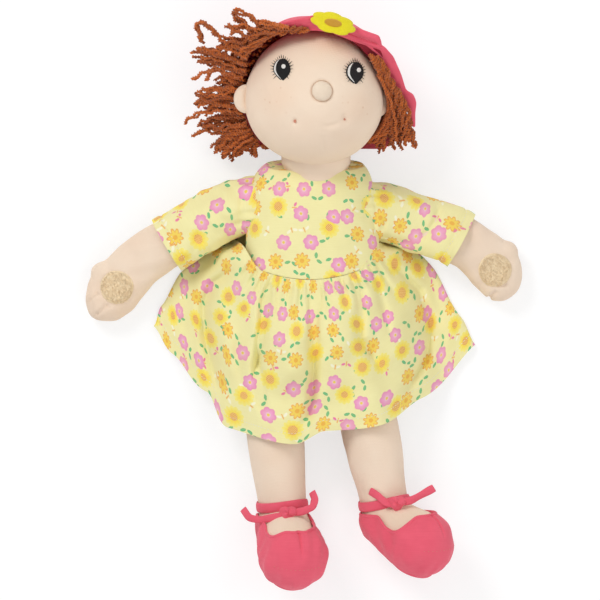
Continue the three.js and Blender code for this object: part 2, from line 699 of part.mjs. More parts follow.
// Legs, shoes and ankle ties
for (const [label, side] of sides) {
  const { leg, heel } = limbs[label];
  const way = vec(...footWay[label]).normalize();
  const toe = heel.clone().addScaledVector(way, footReach);
  const shin = leg.getTangent(1).negate();
  const instep = shin.clone().addScaledVector(way, -shin.dot(way)).normalize();
  const across = vec(0, 0, 0).crossVectors(way, instep);
  const start = heel.clone().addScaledVector(way, -heelDiameter / 2);
  const end = toe.clone().addScaledVector(way, toeDiameter / 2);
  const footShape = (grow) =>
    stuffed({
      curve: new THREE.LineCurve3(start, end),
      halfWidth: (t) => mix(heelDiameter, toeDiameter, smooth(0.1, 0.75, t)) / 2,
      halfDepth: (t) => mix(heelDiameter, toeDiameter, smooth(0.1, 0.75, t)) / 2,
      startDome: heelDiameter / 2,
      endDome: toeDiameter / 2,
      rings: 8,
      sides: 12,
      grow,
    });
  const soleFrom = heel.clone().addScaledVector(instep, -heelHeight);
  const soleTo = toe.clone().addScaledVector(instep, -toeHeight);
  const soleWay = soleTo.clone().sub(soleFrom).normalize();
  const down = vec(0, 0, 0).crossVectors(soleWay, across).normalize();
  if (down.dot(instep) > 0) down.negate();
  const under = (depth) => beyond(soleFrom.clone().addScaledVector(down, depth), down);
  const foot = footShape(0).subtract(under(0));
  const legAndFoot = legShape(label, 0).add(foot).intersect(aboveCloth);
  piece("leg_" + label, materials.skin, legAndFoot);

  const vamp = heel.clone().addScaledVector(way, vampPlace).addScaledVector(instep, vampRise);
  const heelBack = heel.clone().addScaledVector(way, -heelDiameter / 2).addScaledVector(instep, heelBackRise);
  const openingWay = vec(0, 0, 0).crossVectors(vamp.clone().sub(heelBack), across).normalize();
  if (openingWay.dot(instep) < 0) openingWay.negate();
  const lining = footShape(clearance).subtract(under(clearance)).add(legShape(label, clearance));
  const shoe = footShape(clearance + shoeCloth)
    .subtract(under(clearance + shoeCloth))
    .subtract(beyond(vamp, openingWay))
    .intersect(aboveFloor)
    .subtract(lining.intersect(above(clothThickness)));
  piece("shoe_" + label, materials.red, shoe);

  const soleLow = 2 * clearance + shoeCloth;
  const half = (diameter, height) =>
    Math.sqrt((diameter / 2 + shoeCloth) ** 2 - (height + shoeCloth) ** 2) + soleMargin;
  const heelHalf = half(heelDiameter, heelHeight);
  const toeHalf = half(toeDiameter, toeHeight);
  const span = soleFrom.distanceTo(soleTo);
  const outline = rounded(24, (a) => {
    const front = Math.sin(a) > 0;
    const radius = front ? toeHalf : heelHalf;
    return [radius * Math.cos(a), (front ? span : 0) + radius * Math.sin(a)];
  });
  const solePoint = soleFrom.clone().addScaledVector(down, soleLow);
  const soleAcross = vec(0, 0, 0).crossVectors(soleWay, down);
  const sole = raised(outline, solePoint, down, 0, soleThickness, soleAcross);
  piece("sole_" + label, materials.red, sole.intersect(aboveFloor));

  const ankleAt = 1 - strapPlace / leg.getLength();
  const ankle = leg.getPointAt(ankleAt);
  const ankleWay = leg.getTangentAt(ankleAt);
  const ankleRing = bar(
    ankle.clone().addScaledVector(ankleWay, -strapWidth / 2),
    ankle.clone().addScaledVector(ankleWay, strapWidth / 2),
    ankleDiameter,
  );
  const overOpening = beyond(vamp.clone().addScaledVector(openingWay, clearance), openingWay);
  const shoeRoom = footShape(2 * clearance + shoeCloth).subtract(overOpening);
  const strapOuter = legShape(label, clearance + strapThickness);
  const strap = strapOuter.intersect(ankleRing).intersect(aboveFloor)
    .subtract(legShape(label, clearance))
    .subtract(footShape(clearance))
    .subtract(shoeRoom);
  piece("ankle_strap_" + label, materials.red, strap);

  const front = ankle.clone();
  const rise = ankleDiameter / 2 + 2 * clearance + strapThickness;
  front.z += rise + knotHeight / 2 - 1;
  const strapRoom = legShape(label, 2 * clearance + strapThickness);
  const knotSize = [knotWidth / 2, knotLength / 2, knotHeight / 2];
  const knot = (grow) => ellipsoid(front, ...knotSize.map((size) => size + grow), 10, 6);
  piece("ankle_knot_" + label, materials.red, knot(0).subtract(strapRoom));
  for (const [end, outwards] of [["outer", side], ["inner", -side]]) {
    const rises = outwards === side ? 0.45 : 0.1;
    const route = [[0.12, 0], [0.4, 0.06], [0.75, 0.02], [1.05, -0.2]].map(([x, z]) =>
      front.clone().add(vec(outwards * x * tieLength, rises * x * tieLength, z * tieLength)),
    );
    const tie = stuffed({
      curve: new THREE.CatmullRomCurve3(route),
      halfWidth: () => tieWidth / 2,
      halfDepth: () => tieThickness / 2,
      startDome: 1,
      endDome: 1,
      rings: 4,
      sides: 6,
    });
    piece("tie_" + end + "_" + label, materials.red, tie.subtract(knot(clearance)).subtract(strapRoom));
  }
}

// The plane of the hat's rim: how high above the head's middle it lies over a place
const rimHeight = (x, y) => rimSlopeUp * y + rimSlopeAcross * x - rimBack;
const rimNormal = vec(-rimSlopeAcross, -rimSlopeUp, 1).normalize();
const rimPoint = head.clone().add(vec(0, 0, -rimBack));
const inFrontOfRim = (lift) => beyond(rimPoint.clone().add(vec(0, 0, lift)), rimNormal);

// Head, ears and hair pad
const nodRoom = bar(
  neckBall,
  neckBall.clone().add(vec(0, -headHeight / 2, 0)),
  neckRadius + clearance,
  neckRadius + clearance + (headHeight / 2) * Math.tan(radians(nodDegrees)),
  16,
);
piece("head", materials.skin, headShape(0).subtract(neckShape(clearance)).subtract(nodRoom));
const faceTurn = new THREE.Matrix4().makeRotationY(radians(headTurnDegrees));
const headRoom = headShape(clearance);
function earShape(side, grow) {
  const geometry = new THREE.SphereGeometry(1, 12, 8);
  geometry.scale(earStandsOut + 2 + grow, earHeight / 2 + grow, earThickness / 2 + grow);
  geometry.translate(side * (headWidth / 2 - 2), 0, 0);
  geometry.applyMatrix4(faceTurn);
  geometry.translate(head.x, head.y, head.z);
  return solid(geometry);
}
const napeCut = beyond(head.clone().add(vec(0, -hairNapeReach, 0)), vec(0, -1, 0));
const padRegion = (grow) =>
  headShape(clearance + hairPadThickness + grow).subtract(inFrontOfRim(hairPadReach + grow));
const pad = padRegion(0)
  .subtract(headRoom)
  .subtract(napeCut)
  .subtract(neckShape(clearance))
  .subtract(nodRoom)
  .subtract(earShape(1, clearance))
  .subtract(earShape(-1, clearance));
piece("hair_back", materials.yarn, pad);

// Face
function facePoint(across, up) {
  const share = Math.sqrt(1 - ((2 * across) / headWidth) ** 2 - ((2 * up) / headHeight) ** 2);
  return vec(across, up, (headDepth / 2) * share).applyMatrix4(faceTurn).add(head);
}
const nose = facePoint(0, noseRise);
piece(
  "nose",
  materials.skin,
  ellipsoid(nose, noseDiameter / 2, noseDiameter / 2, noseStandsOut, 14, 8).subtract(headRoom),
);
const threadLayer = (level, outline, point) => {
  const base = clearance + level * (embroideryThickness + clearance);
  const column = raised(outline, point, upward, -headDepth / 3, headDepth / 3);
  return column.intersect(headShape(base + embroideryThickness)).subtract(headShape(base));
};
for (const [label, side] of sides) {
  piece("ear_" + label, materials.skin, earShape(side, 0).subtract(headRoom));
  const eye = facePoint((side * eyeSpacing) / 2, eyeRise);
  const oval = (wide, high, dx, dy, taper) =>
    rounded(20, (a) => {
      const narrow = 1 - taper * Math.max(0, -Math.sin(a)) ** 2;
      return [dx + (wide / 2) * Math.cos(a) * narrow, dy + (high / 2) * Math.sin(a)];
    });
  const black = oval(eyeWidth, eyeHeight, 0, 0, eyeTaper);
  const blackRoom = oval(eyeWidth + 2 * clearance, eyeHeight + 2 * clearance, 0, 0, eyeTaper);
  const white = oval(eyeWidth, eyeHeight - 1, -eyeWhiteWidth - clearance, 0, eyeTaper);
  const glint = oval(eyeGlintDiameter, eyeGlintDiameter, eyeGlintAcross, eyeGlintRise, 0);
  piece("eye_" + label, materials.black, threadLayer(0, black, eye));
  piece(
    "eye_white_" + label,
    materials.white,
    threadLayer(0, white, eye).subtract(raised(blackRoom, eye, upward, -headDepth, headDepth)),
  );
  piece("eye_glint_" + label, materials.white, threadLayer(1, glint, eye));
  const corner = facePoint((side * mouthWidth) / 2, -mouthDrop);
  const stitch = rounded(12, (a) => [
    (mouthStitchWidth / 2) * Math.cos(a) + 0.1 * side * Math.sin(a) * mouthStitchLength,
    (mouthStitchLength / 2) * Math.sin(a),
  ]);
  piece("mouth_stitch_" + label, materials.blush, threadLayer(0, stitch, corner));
}

// Hair: locks that spread over the hat's rim, sewn along the hairline
function hairline(angle, lift, grow) {
  let [near, far] = [10, headWidth];
  const at = (reach) => vec(reach * Math.cos(angle), reach * Math.sin(angle), 0);
  for (let i = 0; i < 40; i++) {
    const reach = (near + far) / 2;
    const p = at(reach);
    const z = rimHeight(p.x, p.y) + lift;
    const a = headWidth / 2 + grow;
    const b = headHeight / 2 + grow;
    const c = headDepth / 2 + grow;
    const within = (p.x / a) ** 2 + (p.y / b) ** 2 + (z / c) ** 2 < 1;
    if (within) near = reach;
    else far = reach;
  }
  const p = at(near);
  return p.setZ(rimHeight(p.x, p.y) + lift).add(head);
}
const overRim = (x, y, lift) => vec(x, y, rimHeight(x, y) + lift).add(head);
function lock(points, radius = lockRadius, tip = lockTipRadius) {
  return stuffed({
    curve: new THREE.CatmullRomCurve3(points),
    halfWidth: (t) => mix(radius, tip, t * t),
    halfDepth: (t) => mix(radius, tip, t * t),
    startDome: radius,
    endDome: tip,
    rings: 3,
    sides: 5,
  });
}
function fused(shapes) {
  return shapes.reduce((all, shape) => all.add(shape));
}
const seated = (shape) =>
  shape
    .subtract(headRoom)
    .subtract(padRegion(clearance))
    .subtract(earShape(1, clearance))
    .subtract(earShape(-1, clearance))
    .intersect(inFrontOfRim(clearance));
function weft(fromDegrees, toDegrees, radius) {
  const points = [];
  for (let i = 0; i <= 6; i++) {
    const angle = radians(mix(fromDegrees, toDegrees, i / 6));
    points.push(hairline(angle, lockLift, radius * 0.7));
  }
  return stuffed({
    curve: new THREE.CatmullRomCurve3(points),
    halfWidth: () => radius,
    halfDepth: () => radius,
    startDome: radius,
    endDome: radius,
    rings: 4,
    sides: 5,
  });
}
const rightTuft = [weft(152, 214, lockRadius)];
for (let i = 0; i < rightLocks; i++) {
  const share = i / (rightLocks - 1);
  const angle = radians(mix(132, 219, share));
  const rootAngle = radians(mix(152, 214, share));
  const reach = through(rightLockReach, share) + 4 * Math.sin(2.4 * i);
  const root = hairline(rootAngle, lockLift, 2);
  const tip = overRim(reach * Math.cos(angle), reach * Math.sin(angle), lockLift + 3 * Math.sin(3 * i));
  const middle = root.clone().lerp(tip, 0.5).add(vec(0, 4 - 3 * (i % 2), 2 + 2 * (i % 3)));
  rightTuft.push(lock([root, middle, tip]));
}
piece("hair_right", materials.yarn, seated(fused(rightTuft)));
const leftTuft = [weft(-38, 38, lockRadius)];
for (let i = 0; i < leftLocks; i++) {
  const share = i / (leftLocks - 1);
  const root = hairline(radians(mix(38, -30, share)), lockLift, 2);
  const reach = through(leftLockReach, share);
  const angle = radians(mix(-44, -26, share));
  const tip = overRim(reach * Math.cos(angle), reach * Math.sin(angle), lockLift + 2);
  const side = root.clone().lerp(tip, 0.5).sub(head);
  const outward = overRim(side.x + lockBow + 2 * (i % 2), side.y, lockLift + 2);
  leftTuft.push(lock([root, outward, tip]));
}
piece("hair_left", materials.yarn, seated(fused(leftTuft)));
const fringe = [weft(58, 134, fringeCurlRadius)];
for (let i = 0; i < fringeCurls; i++) {
  const angle = radians(mix(60, 132, i / (fringeCurls - 1)));
  const place = hairline(angle, lockLift + 3 + (i % 2), fringeCurlRadius * 0.6);
  fringe.push(ellipsoid(place, fringeCurlRadius, fringeCurlRadius, fringeCurlRadius * 1.2, 6, 4));
}
piece("hair_fringe", materials.yarn, seated(fused(fringe)));

// Hat: a scoop that slides off over the top of the head
function hatShape(grow) {
  const [a, b, c] = [hatWidth / 2, hatHeight / 2, head.z + restDepth].map((size) => size + grow);
  const rings = [];
  const steps = 6;
  for (let i = 0; i <= steps; i++) {
    const angle = mix(0.02, Math.PI / 2, i / steps);
    rings.push([b * Math.cos(angle), Math.sin(angle)]);
  }
  rings.push([-farAway / 6, 1]);
  return skin(
    rings.map(([y, share]) => {
      const ring = [];
      for (let j = 0; j < 20; j++) {
        const turn = (2 * Math.PI * j) / 20;
        ring.push(vec(a * share * Math.cos(turn), y, c * share * Math.sin(turn)).add(head));
      }
      return ring;
    }),
  );
}
const hatEnd = beyond(head.clone().add(vec(0, -hatNapeReach, 0)), vec(0, -1, 0));
const crown = hatShape(0)
  .intersect(aboveFloor)
  .subtract(hatShape(-hatCloth).intersect(above(hatCloth - restDepth)))
  .subtract(inFrontOfRim(0))
  .subtract(hatEnd);
piece("hat_crown", materials.red, crown);
const rimAcross = vec(1, 0, rimSlopeAcross).normalize();
const brimOutline = rounded(56, (a) => {
  const flap = Math.exp(-(((a > Math.PI ? a - 2 * Math.PI : a) + 0.12) ** 2) / 0.09);
  const width = brimWidth + (brimFlapWidth - brimWidth) * flap + brimWaveHeight * Math.sin(brimWaves * a);
  const up = hatHeight / 2 + brimTopRoom;
  return [(hatWidth / 2 + width) * Math.cos(a), (up + width) * Math.sin(a)];
});
// Flower, sewn to the front of the hat
const hatTop = (back) => {
  let [near, far] = [0, hatHeight / 2];
  for (let i = 0; i < 40; i++) {
    const y = (near + far) / 2;
    const z = rimHeight(flowerAcross, y) - back;
    const within =
      (flowerAcross / (hatWidth / 2)) ** 2 + (y / (hatHeight / 2)) ** 2 + (z / (head.z + restDepth)) ** 2 < 1;
    if (within) near = y;
    else far = y;
  }
  return vec(flowerAcross, near, rimHeight(flowerAcross, near) - back);
};
const flowerRel = hatTop(flowerBack);
const flowerWay = vec(
  flowerRel.x / (hatWidth / 2) ** 2,
  flowerRel.y / (hatHeight / 2) ** 2,
  flowerRel.z / (head.z + restDepth) ** 2,
).normalize();
const flowerPoint = flowerRel.clone().add(head);
const petals = rounded(flowerPetals * 6, (a) => {
  const radius = (flowerDiameter / 2) * (0.86 + 0.14 * Math.cos(flowerPetals * a));
  return [radius * Math.cos(a), radius * Math.sin(a)];
});
const heartRadius = flowerHeartDiameter / 2;
const heart = rounded(16, (a) => [heartRadius * Math.cos(a), heartRadius * Math.sin(a)]);
const onHat = (outline, low, high) =>
  raised(outline, flowerPoint, flowerWay, -flowerDiameter / 3, flowerDiameter / 2)
    .intersect(hatShape(high))
    .subtract(hatShape(low));
piece("hat_flower", materials.felt, onHat(petals, clearance, clearance + flowerThickness));
const flowerRoom = raised(
  rounded(24, (a) => [(flowerDiameter / 2 + 1) * Math.cos(a), (flowerDiameter / 2 + 1) * Math.sin(a)]),
  flowerPoint,
  flowerWay,
  -flowerDiameter / 3,
  flowerDiameter / 2,
);
const brim = raised(brimOutline, rimPoint, rimNormal, -brimThickness, 0, rimAcross)
  .subtract(hatShape(clearance))
  .subtract(hatEnd)
  .subtract(flowerRoom)
  .intersect(aboveFloor);
for (const [label, side] of sides) {
  const half = brim.intersect(beyond(flowerPoint, vec(side, 0, 0)));
  piece("hat_brim_" + label, materials.red, half);
}
const heartLow = 2 * clearance + flowerThickness;
piece("hat_flower_heart", materials.heart, onHat(heart, heartLow, heartLow + flowerHeartThickness));

export default doll;
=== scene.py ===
"""A stuffed rag doll in a flowered dress, lying on its back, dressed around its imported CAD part."""

from __future__ import annotations

import logging
import math
from dataclasses import dataclass, field
from enum import Enum
from typing import Any, Callable, Iterable, Sequence

import bpy
import numpy as np
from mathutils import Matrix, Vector


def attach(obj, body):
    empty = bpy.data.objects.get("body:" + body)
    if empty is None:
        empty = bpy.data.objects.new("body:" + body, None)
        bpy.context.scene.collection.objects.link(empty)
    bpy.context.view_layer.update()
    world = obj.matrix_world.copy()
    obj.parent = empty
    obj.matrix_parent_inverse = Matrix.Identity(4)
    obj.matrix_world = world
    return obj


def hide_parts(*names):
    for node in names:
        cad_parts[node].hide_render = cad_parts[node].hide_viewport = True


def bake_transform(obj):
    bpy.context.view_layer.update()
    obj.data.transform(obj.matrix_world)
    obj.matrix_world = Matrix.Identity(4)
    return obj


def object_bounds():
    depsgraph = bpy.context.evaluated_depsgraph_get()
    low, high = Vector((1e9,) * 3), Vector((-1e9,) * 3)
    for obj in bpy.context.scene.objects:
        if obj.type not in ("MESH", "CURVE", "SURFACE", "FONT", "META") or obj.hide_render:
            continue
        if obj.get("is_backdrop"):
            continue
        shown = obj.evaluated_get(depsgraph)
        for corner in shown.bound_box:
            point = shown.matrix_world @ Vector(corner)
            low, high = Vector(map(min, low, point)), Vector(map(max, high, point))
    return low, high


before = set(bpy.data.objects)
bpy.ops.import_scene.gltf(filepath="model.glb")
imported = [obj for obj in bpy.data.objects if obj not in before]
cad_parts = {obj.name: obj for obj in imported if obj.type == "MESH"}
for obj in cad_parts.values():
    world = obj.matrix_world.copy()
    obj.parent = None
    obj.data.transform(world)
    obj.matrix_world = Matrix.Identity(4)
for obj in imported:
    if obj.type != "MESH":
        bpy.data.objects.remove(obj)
CAD_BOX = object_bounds()
LOG = logging.getLogger("rag_doll")
MM = 0.001
PIXEL = 0.75
PHOTO_MIDDLE = (310, 250)
CLOTH_UV = "cloth"
Array = np.ndarray
Piece = bpy.types.Object
Material = bpy.types.Material
Place = Sequence[float]
Seen = Sequence[Place]
Outline = Callable[[Array], tuple[Array, Array]]
Lay = Callable[[Array, Array, Array], Array]
Settings = dict[str, Any] | None
Number = "Wire | float"
Edges = list[tuple[int, int]]


class Side(Enum):
    """The doll's own left and right, with the sign of x on each."""

    LEFT = ("left", 1)
    RIGHT = ("right", -1)

    def __str__(self) -> str:
        """The word used in node names."""
        return self.value[0]

    @property
    def sign(self) -> int:
        """The sign of x on this side."""
        return self.value[1]

    def of(self, pair: Sequence[Any]) -> Any:
        """This side's one of a left and a right value."""
        return pair[self is Side.RIGHT]


# Curves and surfaces, in millimetres


def smooth(low: float, high: float, value: Array | float) -> Array:
    """A step from 0 to 1 with soft ends.

    Args:
        low: Where the step begins.
        high: Where it ends.
        value: Where it is read.

    Returns:
        The height of the step.
    """
    share = np.clip((np.asarray(value, float) - low) / (high - low), 0, 1)
    return share * share * (3 - 2 * share)


def through(pairs: Seen, place: Array | float) -> Array:
    """A value that runs softly through pairs of place and value.

    Args:
        pairs: The places and their values, in order.
        place: Where the value is read.

    Returns:
        The value there.
    """
    place = np.asarray(place, float)
    value = np.full(place.shape, float(pairs[0][1]))
    for (start, low), (end, high) in zip(pairs, pairs[1:]):
        value = np.where(place > start, low + (high - low) * smooth(start, end, place), value)
    return value


def hump(offset: Array, width: float) -> Array:
    """A round hump, 1 high where the offset is 0."""
    return np.exp(-((offset / width) ** 2))


def lumps(points: Array, size: float, seed: int, waves: int = 12) -> Array:
    """Soft random unevenness, the same on each run.

    Args:
        points: Where it is read, one row a point, in mm.
        size: How far apart the lumps lie, in mm.
        seed: Which random pattern it is.
        waves: How many waves are laid over each other.

    Returns:
        A value from about -1 to 1 for each point.
    """
    random = np.random.default_rng(seed)
    total = np.zeros(len(points))
    for _ in range(waves):
        way = random.normal(size=3)
        way *= 2 * math.pi * random.uniform(0.6, 1.5) / (size * np.linalg.norm(way))
        total += np.sin(points @ way + random.uniform(0, 2 * math.pi))
    return total / math.sqrt(waves)


def lengths(rows: Array) -> Array:
    """The length of each row."""
    return np.linalg.norm(rows, axis=-1)


def unit(rows: Sequence[float] | Array) -> Array:
    """The way of a vector or of each row, one long."""
    rows = np.asarray(rows, float)
    return rows / np.linalg.norm(rows, axis=-1, keepdims=True)


def travel(path: Array) -> Array:
    """How far along a path each of its points lies."""
    return np.concatenate([[0], np.cumsum(lengths(np.diff(path, axis=0)))])


def turns(count: int) -> Array:
    """Angles spread evenly round a circle."""
    return 2 * np.pi * np.arange(count) / count


class Route:
    """A smooth curve through points, read by its share of length."""

    def __init__(self, points: Seen, steps: int = 400) -> None:
        """Lays the curve.

        Args:
            points: The points that it passes, in mm.
            steps: How many short straights stand for it.
        """
        knots = np.array(points, float)
        knots = np.vstack([2 * knots[0] - knots[1], knots, 2 * knots[-1] - knots[-2]])
        spans = len(points) - 1
        self.line = np.array([self._between(knots, spans * i / steps, spans) for i in range(steps + 1)])
        reach = travel(self.line)
        self.length = float(reach[-1])
        self.share = reach / self.length

    @staticmethod
    def _between(knots: Array, place: float, spans: int) -> Array:
        """A point on the centripetal curve between two knots.

        Args:
            knots: The knots, with one more at each end.
            place: The point's place, in spans from the start.
            spans: How many spans there are.

        Returns:
            The point.
        """
        index = min(int(place), spans - 1)
        part = place - index
        a, b, c, d = knots[index : index + 4]
        before, here, after = (max(1e-4, np.sum((q - p) ** 2) ** 0.25) for p, q in ((a, b), (b, c), (c, d)))
        first = (b - a) / before - (c - a) / (before + here)
        first = (first + (c - b) / here) * here
        last = (c - b) / here - (d - b) / (here + after)
        last = (last + (d - c) / after) * here
        cubic = 2 * b - 2 * c + first + last
        square = -3 * b + 3 * c - 2 * first - last
        return b + first * part + square * part**2 + cubic * part**3

    def at(self, share: Array | float) -> Array:
        """The point at a share of the length."""
        return np.stack([np.interp(share, self.share, column) for column in self.line.T], axis=-1)

    def at_knot(self, place: float) -> Array:
        """The point at a share of the knots."""
        return self.line[int(round(place * (len(self.line) - 1)))]

    def way(self, share: Array | float, step: float = 0.004) -> Array:
        """The curve's way at a share of its length."""
        share = np.asarray(share, float)
        return unit(self.at(np.clip(share + step, 0, 1)) - self.at(np.clip(share - step, 0, 1)))


@dataclass
class Shell:
    """Points and faces of a surface, in mm, with values kept for each point."""

    points: Array
    faces: list[tuple[int, ...]]
    values: dict[str, Array] = field(default_factory=dict)

    def clipped(self, keep: Array) -> Shell:
        """The part of the surface where a value is above zero, cut along its zero line.

        Args:
            keep: The value at each point.

        Returns:
            The cut surface, without the points that no face uses.
        """
        points, extra, made = list(self.points), {k: list(v) for k, v in self.values.items()}, {}

        def crossing(a: int, b: int) -> int:
            """The point where the edge between two points is cut."""
            a, b = min(a, b), max(a, b)
            if (a, b) not in made:
                share = keep[a] / (keep[a] - keep[b])
                made[a, b] = len(points)
                for column in (points, *extra.values()):
                    column.append(column[a] * (1 - share) + column[b] * share)
            return made[a, b]

        faces = []
        for face in self.faces:
            ring = []
            for a, b in zip(face, face[1:] + face[:1]):
                if keep[a] > 0:
                    ring.append(a)
                if (keep[a] > 0) != (keep[b] > 0):
                    ring.append(crossing(a, b))
            if len(ring) > 2:
                faces.append(tuple(ring))
        used = sorted({i for face in faces for i in face})
        place = {old: new for new, old in enumerate(used)}
        faces = [tuple(place[i] for i in face) for face in faces]
        return Shell(np.array(points)[used], faces, {k: np.array(v)[used] for k, v in extra.items()})


def grid(points: Array, closed: bool = False, flip: bool = False) -> Shell:
    """A surface over rows of points.

    Args:
        points: Rows and columns of points.
        closed: Whether each row runs back to its start.
        flip: Whether the faces are turned over.

    Returns:
        The surface.
    """
    rows, columns = points.shape[:2]
    faces = []
    for i in range(rows - 1):
        for j in range(columns if closed else columns - 1):
            a, b = i * columns + j, i * columns + (j + 1) % columns
            face = (a, b, b + columns, a + columns)
            faces.append(face[::-1] if flip else face)
    return Shell(points.reshape(-1, 3), faces)


def capped(rows: Array, poles: Seen) -> Shell:
    """A closed surface over rings of points, with a fan to a pole at each end.

    Args:
        rows: The rings.
        poles: The two poles.

    Returns:
        The surface.
    """
    shell = grid(rows, closed=True, flip=True)
    count, sides = len(shell.points), rows.shape[1]
    last = count - sides
    for j in range(sides):
        k = (j + 1) % sides
        shell.faces += [(count, j, k), (count + 1, last + k, last + j)]
    shell.points = np.vstack([shell.points, poles])
    return shell


@dataclass
class Tube:
    """A stuffed tube: half widths and half depths along a route, with domed ends."""

    route: Route
    half_width: Callable[[Array], Array]
    half_depth: Callable[[Array], Array]
    start_dome: float = 1.0
    end_dome: float = 1.0
    grow: float = 0.0

    def rows(self, rings: int, sides: int) -> tuple[Array, Array, Array]:
        """The tube's rings of points.

        Args:
            rings: How many steps it has along its route.
            sides: How many points go round it.

        Returns:
            The points, the angle of each and how far along the route each lies.
        """
        length, grow = self.route.length, self.grow
        share = 0.001 + 0.998 * (1 - np.cos(np.pi * np.arange(rings + 1) / rings)) / 2
        along = share * (length + 2 * grow) - grow
        place = np.clip(along / length, 0, 1)
        way = self.route.way(place)
        middle = self.route.at(place) + way * (along - place * length)[:, None]
        across = unit(np.cross(way, (0, 0, 1)))
        deep = np.cross(across, way)
        start = self._dome((along + grow) / (self.start_dome + grow))
        end = self._dome((length - along + grow) / (self.end_dome + grow))
        angle = turns(sides)
        wide = ((self.half_width(place) + grow) * start * end)[:, None, None] * np.cos(angle)[None, :, None]
        high = ((self.half_depth(place) + grow) * start * end)[:, None, None] * np.sin(angle)[None, :, None]
        points = middle[:, None, :] + across[:, None, :] * wide + deep[:, None, :] * high
        return points, np.tile(angle, (rings + 1, 1)), np.tile(along[:, None], (1, sides))

    @staticmethod
    def _dome(share: Array) -> Array:
        """The round end's size at a share of its length."""
        return np.sqrt(np.clip(1 - np.clip(1 - share, 0, 1) ** 2, 0, 1))

    def shell(self, rings: int, sides: int) -> Shell:
        """The tube as a closed surface."""
        points = self.rows(rings, sides)[0]
        return capped(points, [points[0].mean(axis=0), points[-1].mean(axis=0)])


def ball(radii: Place, around: int = 32, down: int = 20, middle: Place = (0, 0, 0)) -> Shell:
    """A closed ball or egg with its poles along z.

    Args:
        radii: Its half sizes along x, y and z, in mm.
        around: How many faces go round it.
        down: How many rows it has from pole to pole.
        middle: Its middle.

    Returns:
        The surface.
    """
    lat, lon = np.meshgrid(np.pi * np.arange(1, down) / down, turns(around), indexing="ij")
    rows = np.stack([np.sin(lat) * np.cos(lon), np.sin(lat) * np.sin(lon), np.cos(lat)], axis=-1)
    shell = capped(rows, [[0, 0, 1], [0, 0, -1]])
    shell.points = shell.points * np.array(radii) + np.array(middle)
    return shell


def on_photo(points: Seen) -> Array:
    """Places seen in the picture, as x and y in mm."""
    seen = np.asarray(points, float)
    return np.stack([(seen[:, 0] - PHOTO_MIDDLE[0]) * PIXEL, (PHOTO_MIDDLE[1] - seen[:, 1]) * PIXEL], axis=1)


def spot(seen: Sequence[float]) -> Array:
    """One place seen in the picture, in mm."""
    return on_photo([seen])[0]


def rim_loop(shell: Shell) -> Array:
    """The longest open edge of a surface.

    Args:
        shell: The surface.

    Returns:
        The edge as rows of points.
    """
    ways = {(a, b) for face in shell.faces for a, b in zip(face, face[1:] + face[:1])}
    follow = {a: b for a, b in ways if (b, a) not in ways}
    loops = []
    while follow:
        here = next(iter(follow))
        loop = []
        while here in follow:
            loop.append(here)
            here = follow.pop(here)
        loops.append(shell.points[loop])
    return max(loops, key=len)


def evened(path: Array, count: int, closed: bool = False, rounds: int = 2) -> Array:
    """A path with even steps and without small kinks.

    Args:
        path: The path's points.
        count: How many points the new one has.
        closed: Whether it runs back to its start.
        rounds: How often it is smoothed.

    Returns:
        The new path.
    """
    line = np.vstack([path, path[:1]]) if closed else path
    reach = travel(line)
    place = np.linspace(0, reach[-1], count + 1 if closed else count)
    made = np.stack([np.interp(place, reach, column) for column in line.T], axis=1)
    made = made[:-1] if closed else made
    for _ in range(rounds):
        soft = (np.roll(made, 1, axis=0) + made * 2 + np.roll(made, -1, axis=0)) / 4
        if not closed:
            soft[0], soft[-1] = made[0], made[-1]
        made = soft
    return made


def swept(
    path: Array, wide: float | Array, high: float, sides: int = 8, closed: bool = False,
    up: Place | Array = (0, 0, 1),
) -> Shell:
    """A cord or ribbon along a path.

    Args:
        path: The path's points.
        wide: Its half width, sideways.
        high: Its half thickness, along up.
        sides: How many faces go round it.
        closed: Whether it runs back to its start.
        up: The way that its flat side looks, one or one a point.

    Returns:
        The closed surface.
    """
    count = len(path)
    ahead = np.roll(path, -1, axis=0) - np.roll(path, 1, axis=0)
    if not closed:
        ahead[0], ahead[-1] = path[1] - path[0], path[-1] - path[-2]
    ahead = unit(ahead)
    across = np.cross(ahead, np.broadcast_to(np.asarray(up, float), path.shape))
    across /= np.linalg.norm(across, axis=1, keepdims=True) + 1e-9
    deep = np.cross(across, ahead)
    angle = turns(sides)
    wide = np.broadcast_to(wide, count)[:, None, None] * np.cos(angle)[None, :, None]
    high = high * np.sin(angle)[None, :, None]
    rings = path[:, None, :] + across[:, None, :] * wide + deep[:, None, :] * high
    if closed:
        shell = grid(np.concatenate([rings, rings[:1]]), closed=True, flip=True)
        last = count * sides
        shell.faces = [tuple(i % last for i in face) for face in shell.faces]
        shell.points = shell.points[:last]
        return shell
    shell = grid(rings, closed=True, flip=True)
    last = (count - 1) * sides
    shell.faces += [tuple(range(sides)), tuple(range(last, last + sides))[::-1]]
    return shell


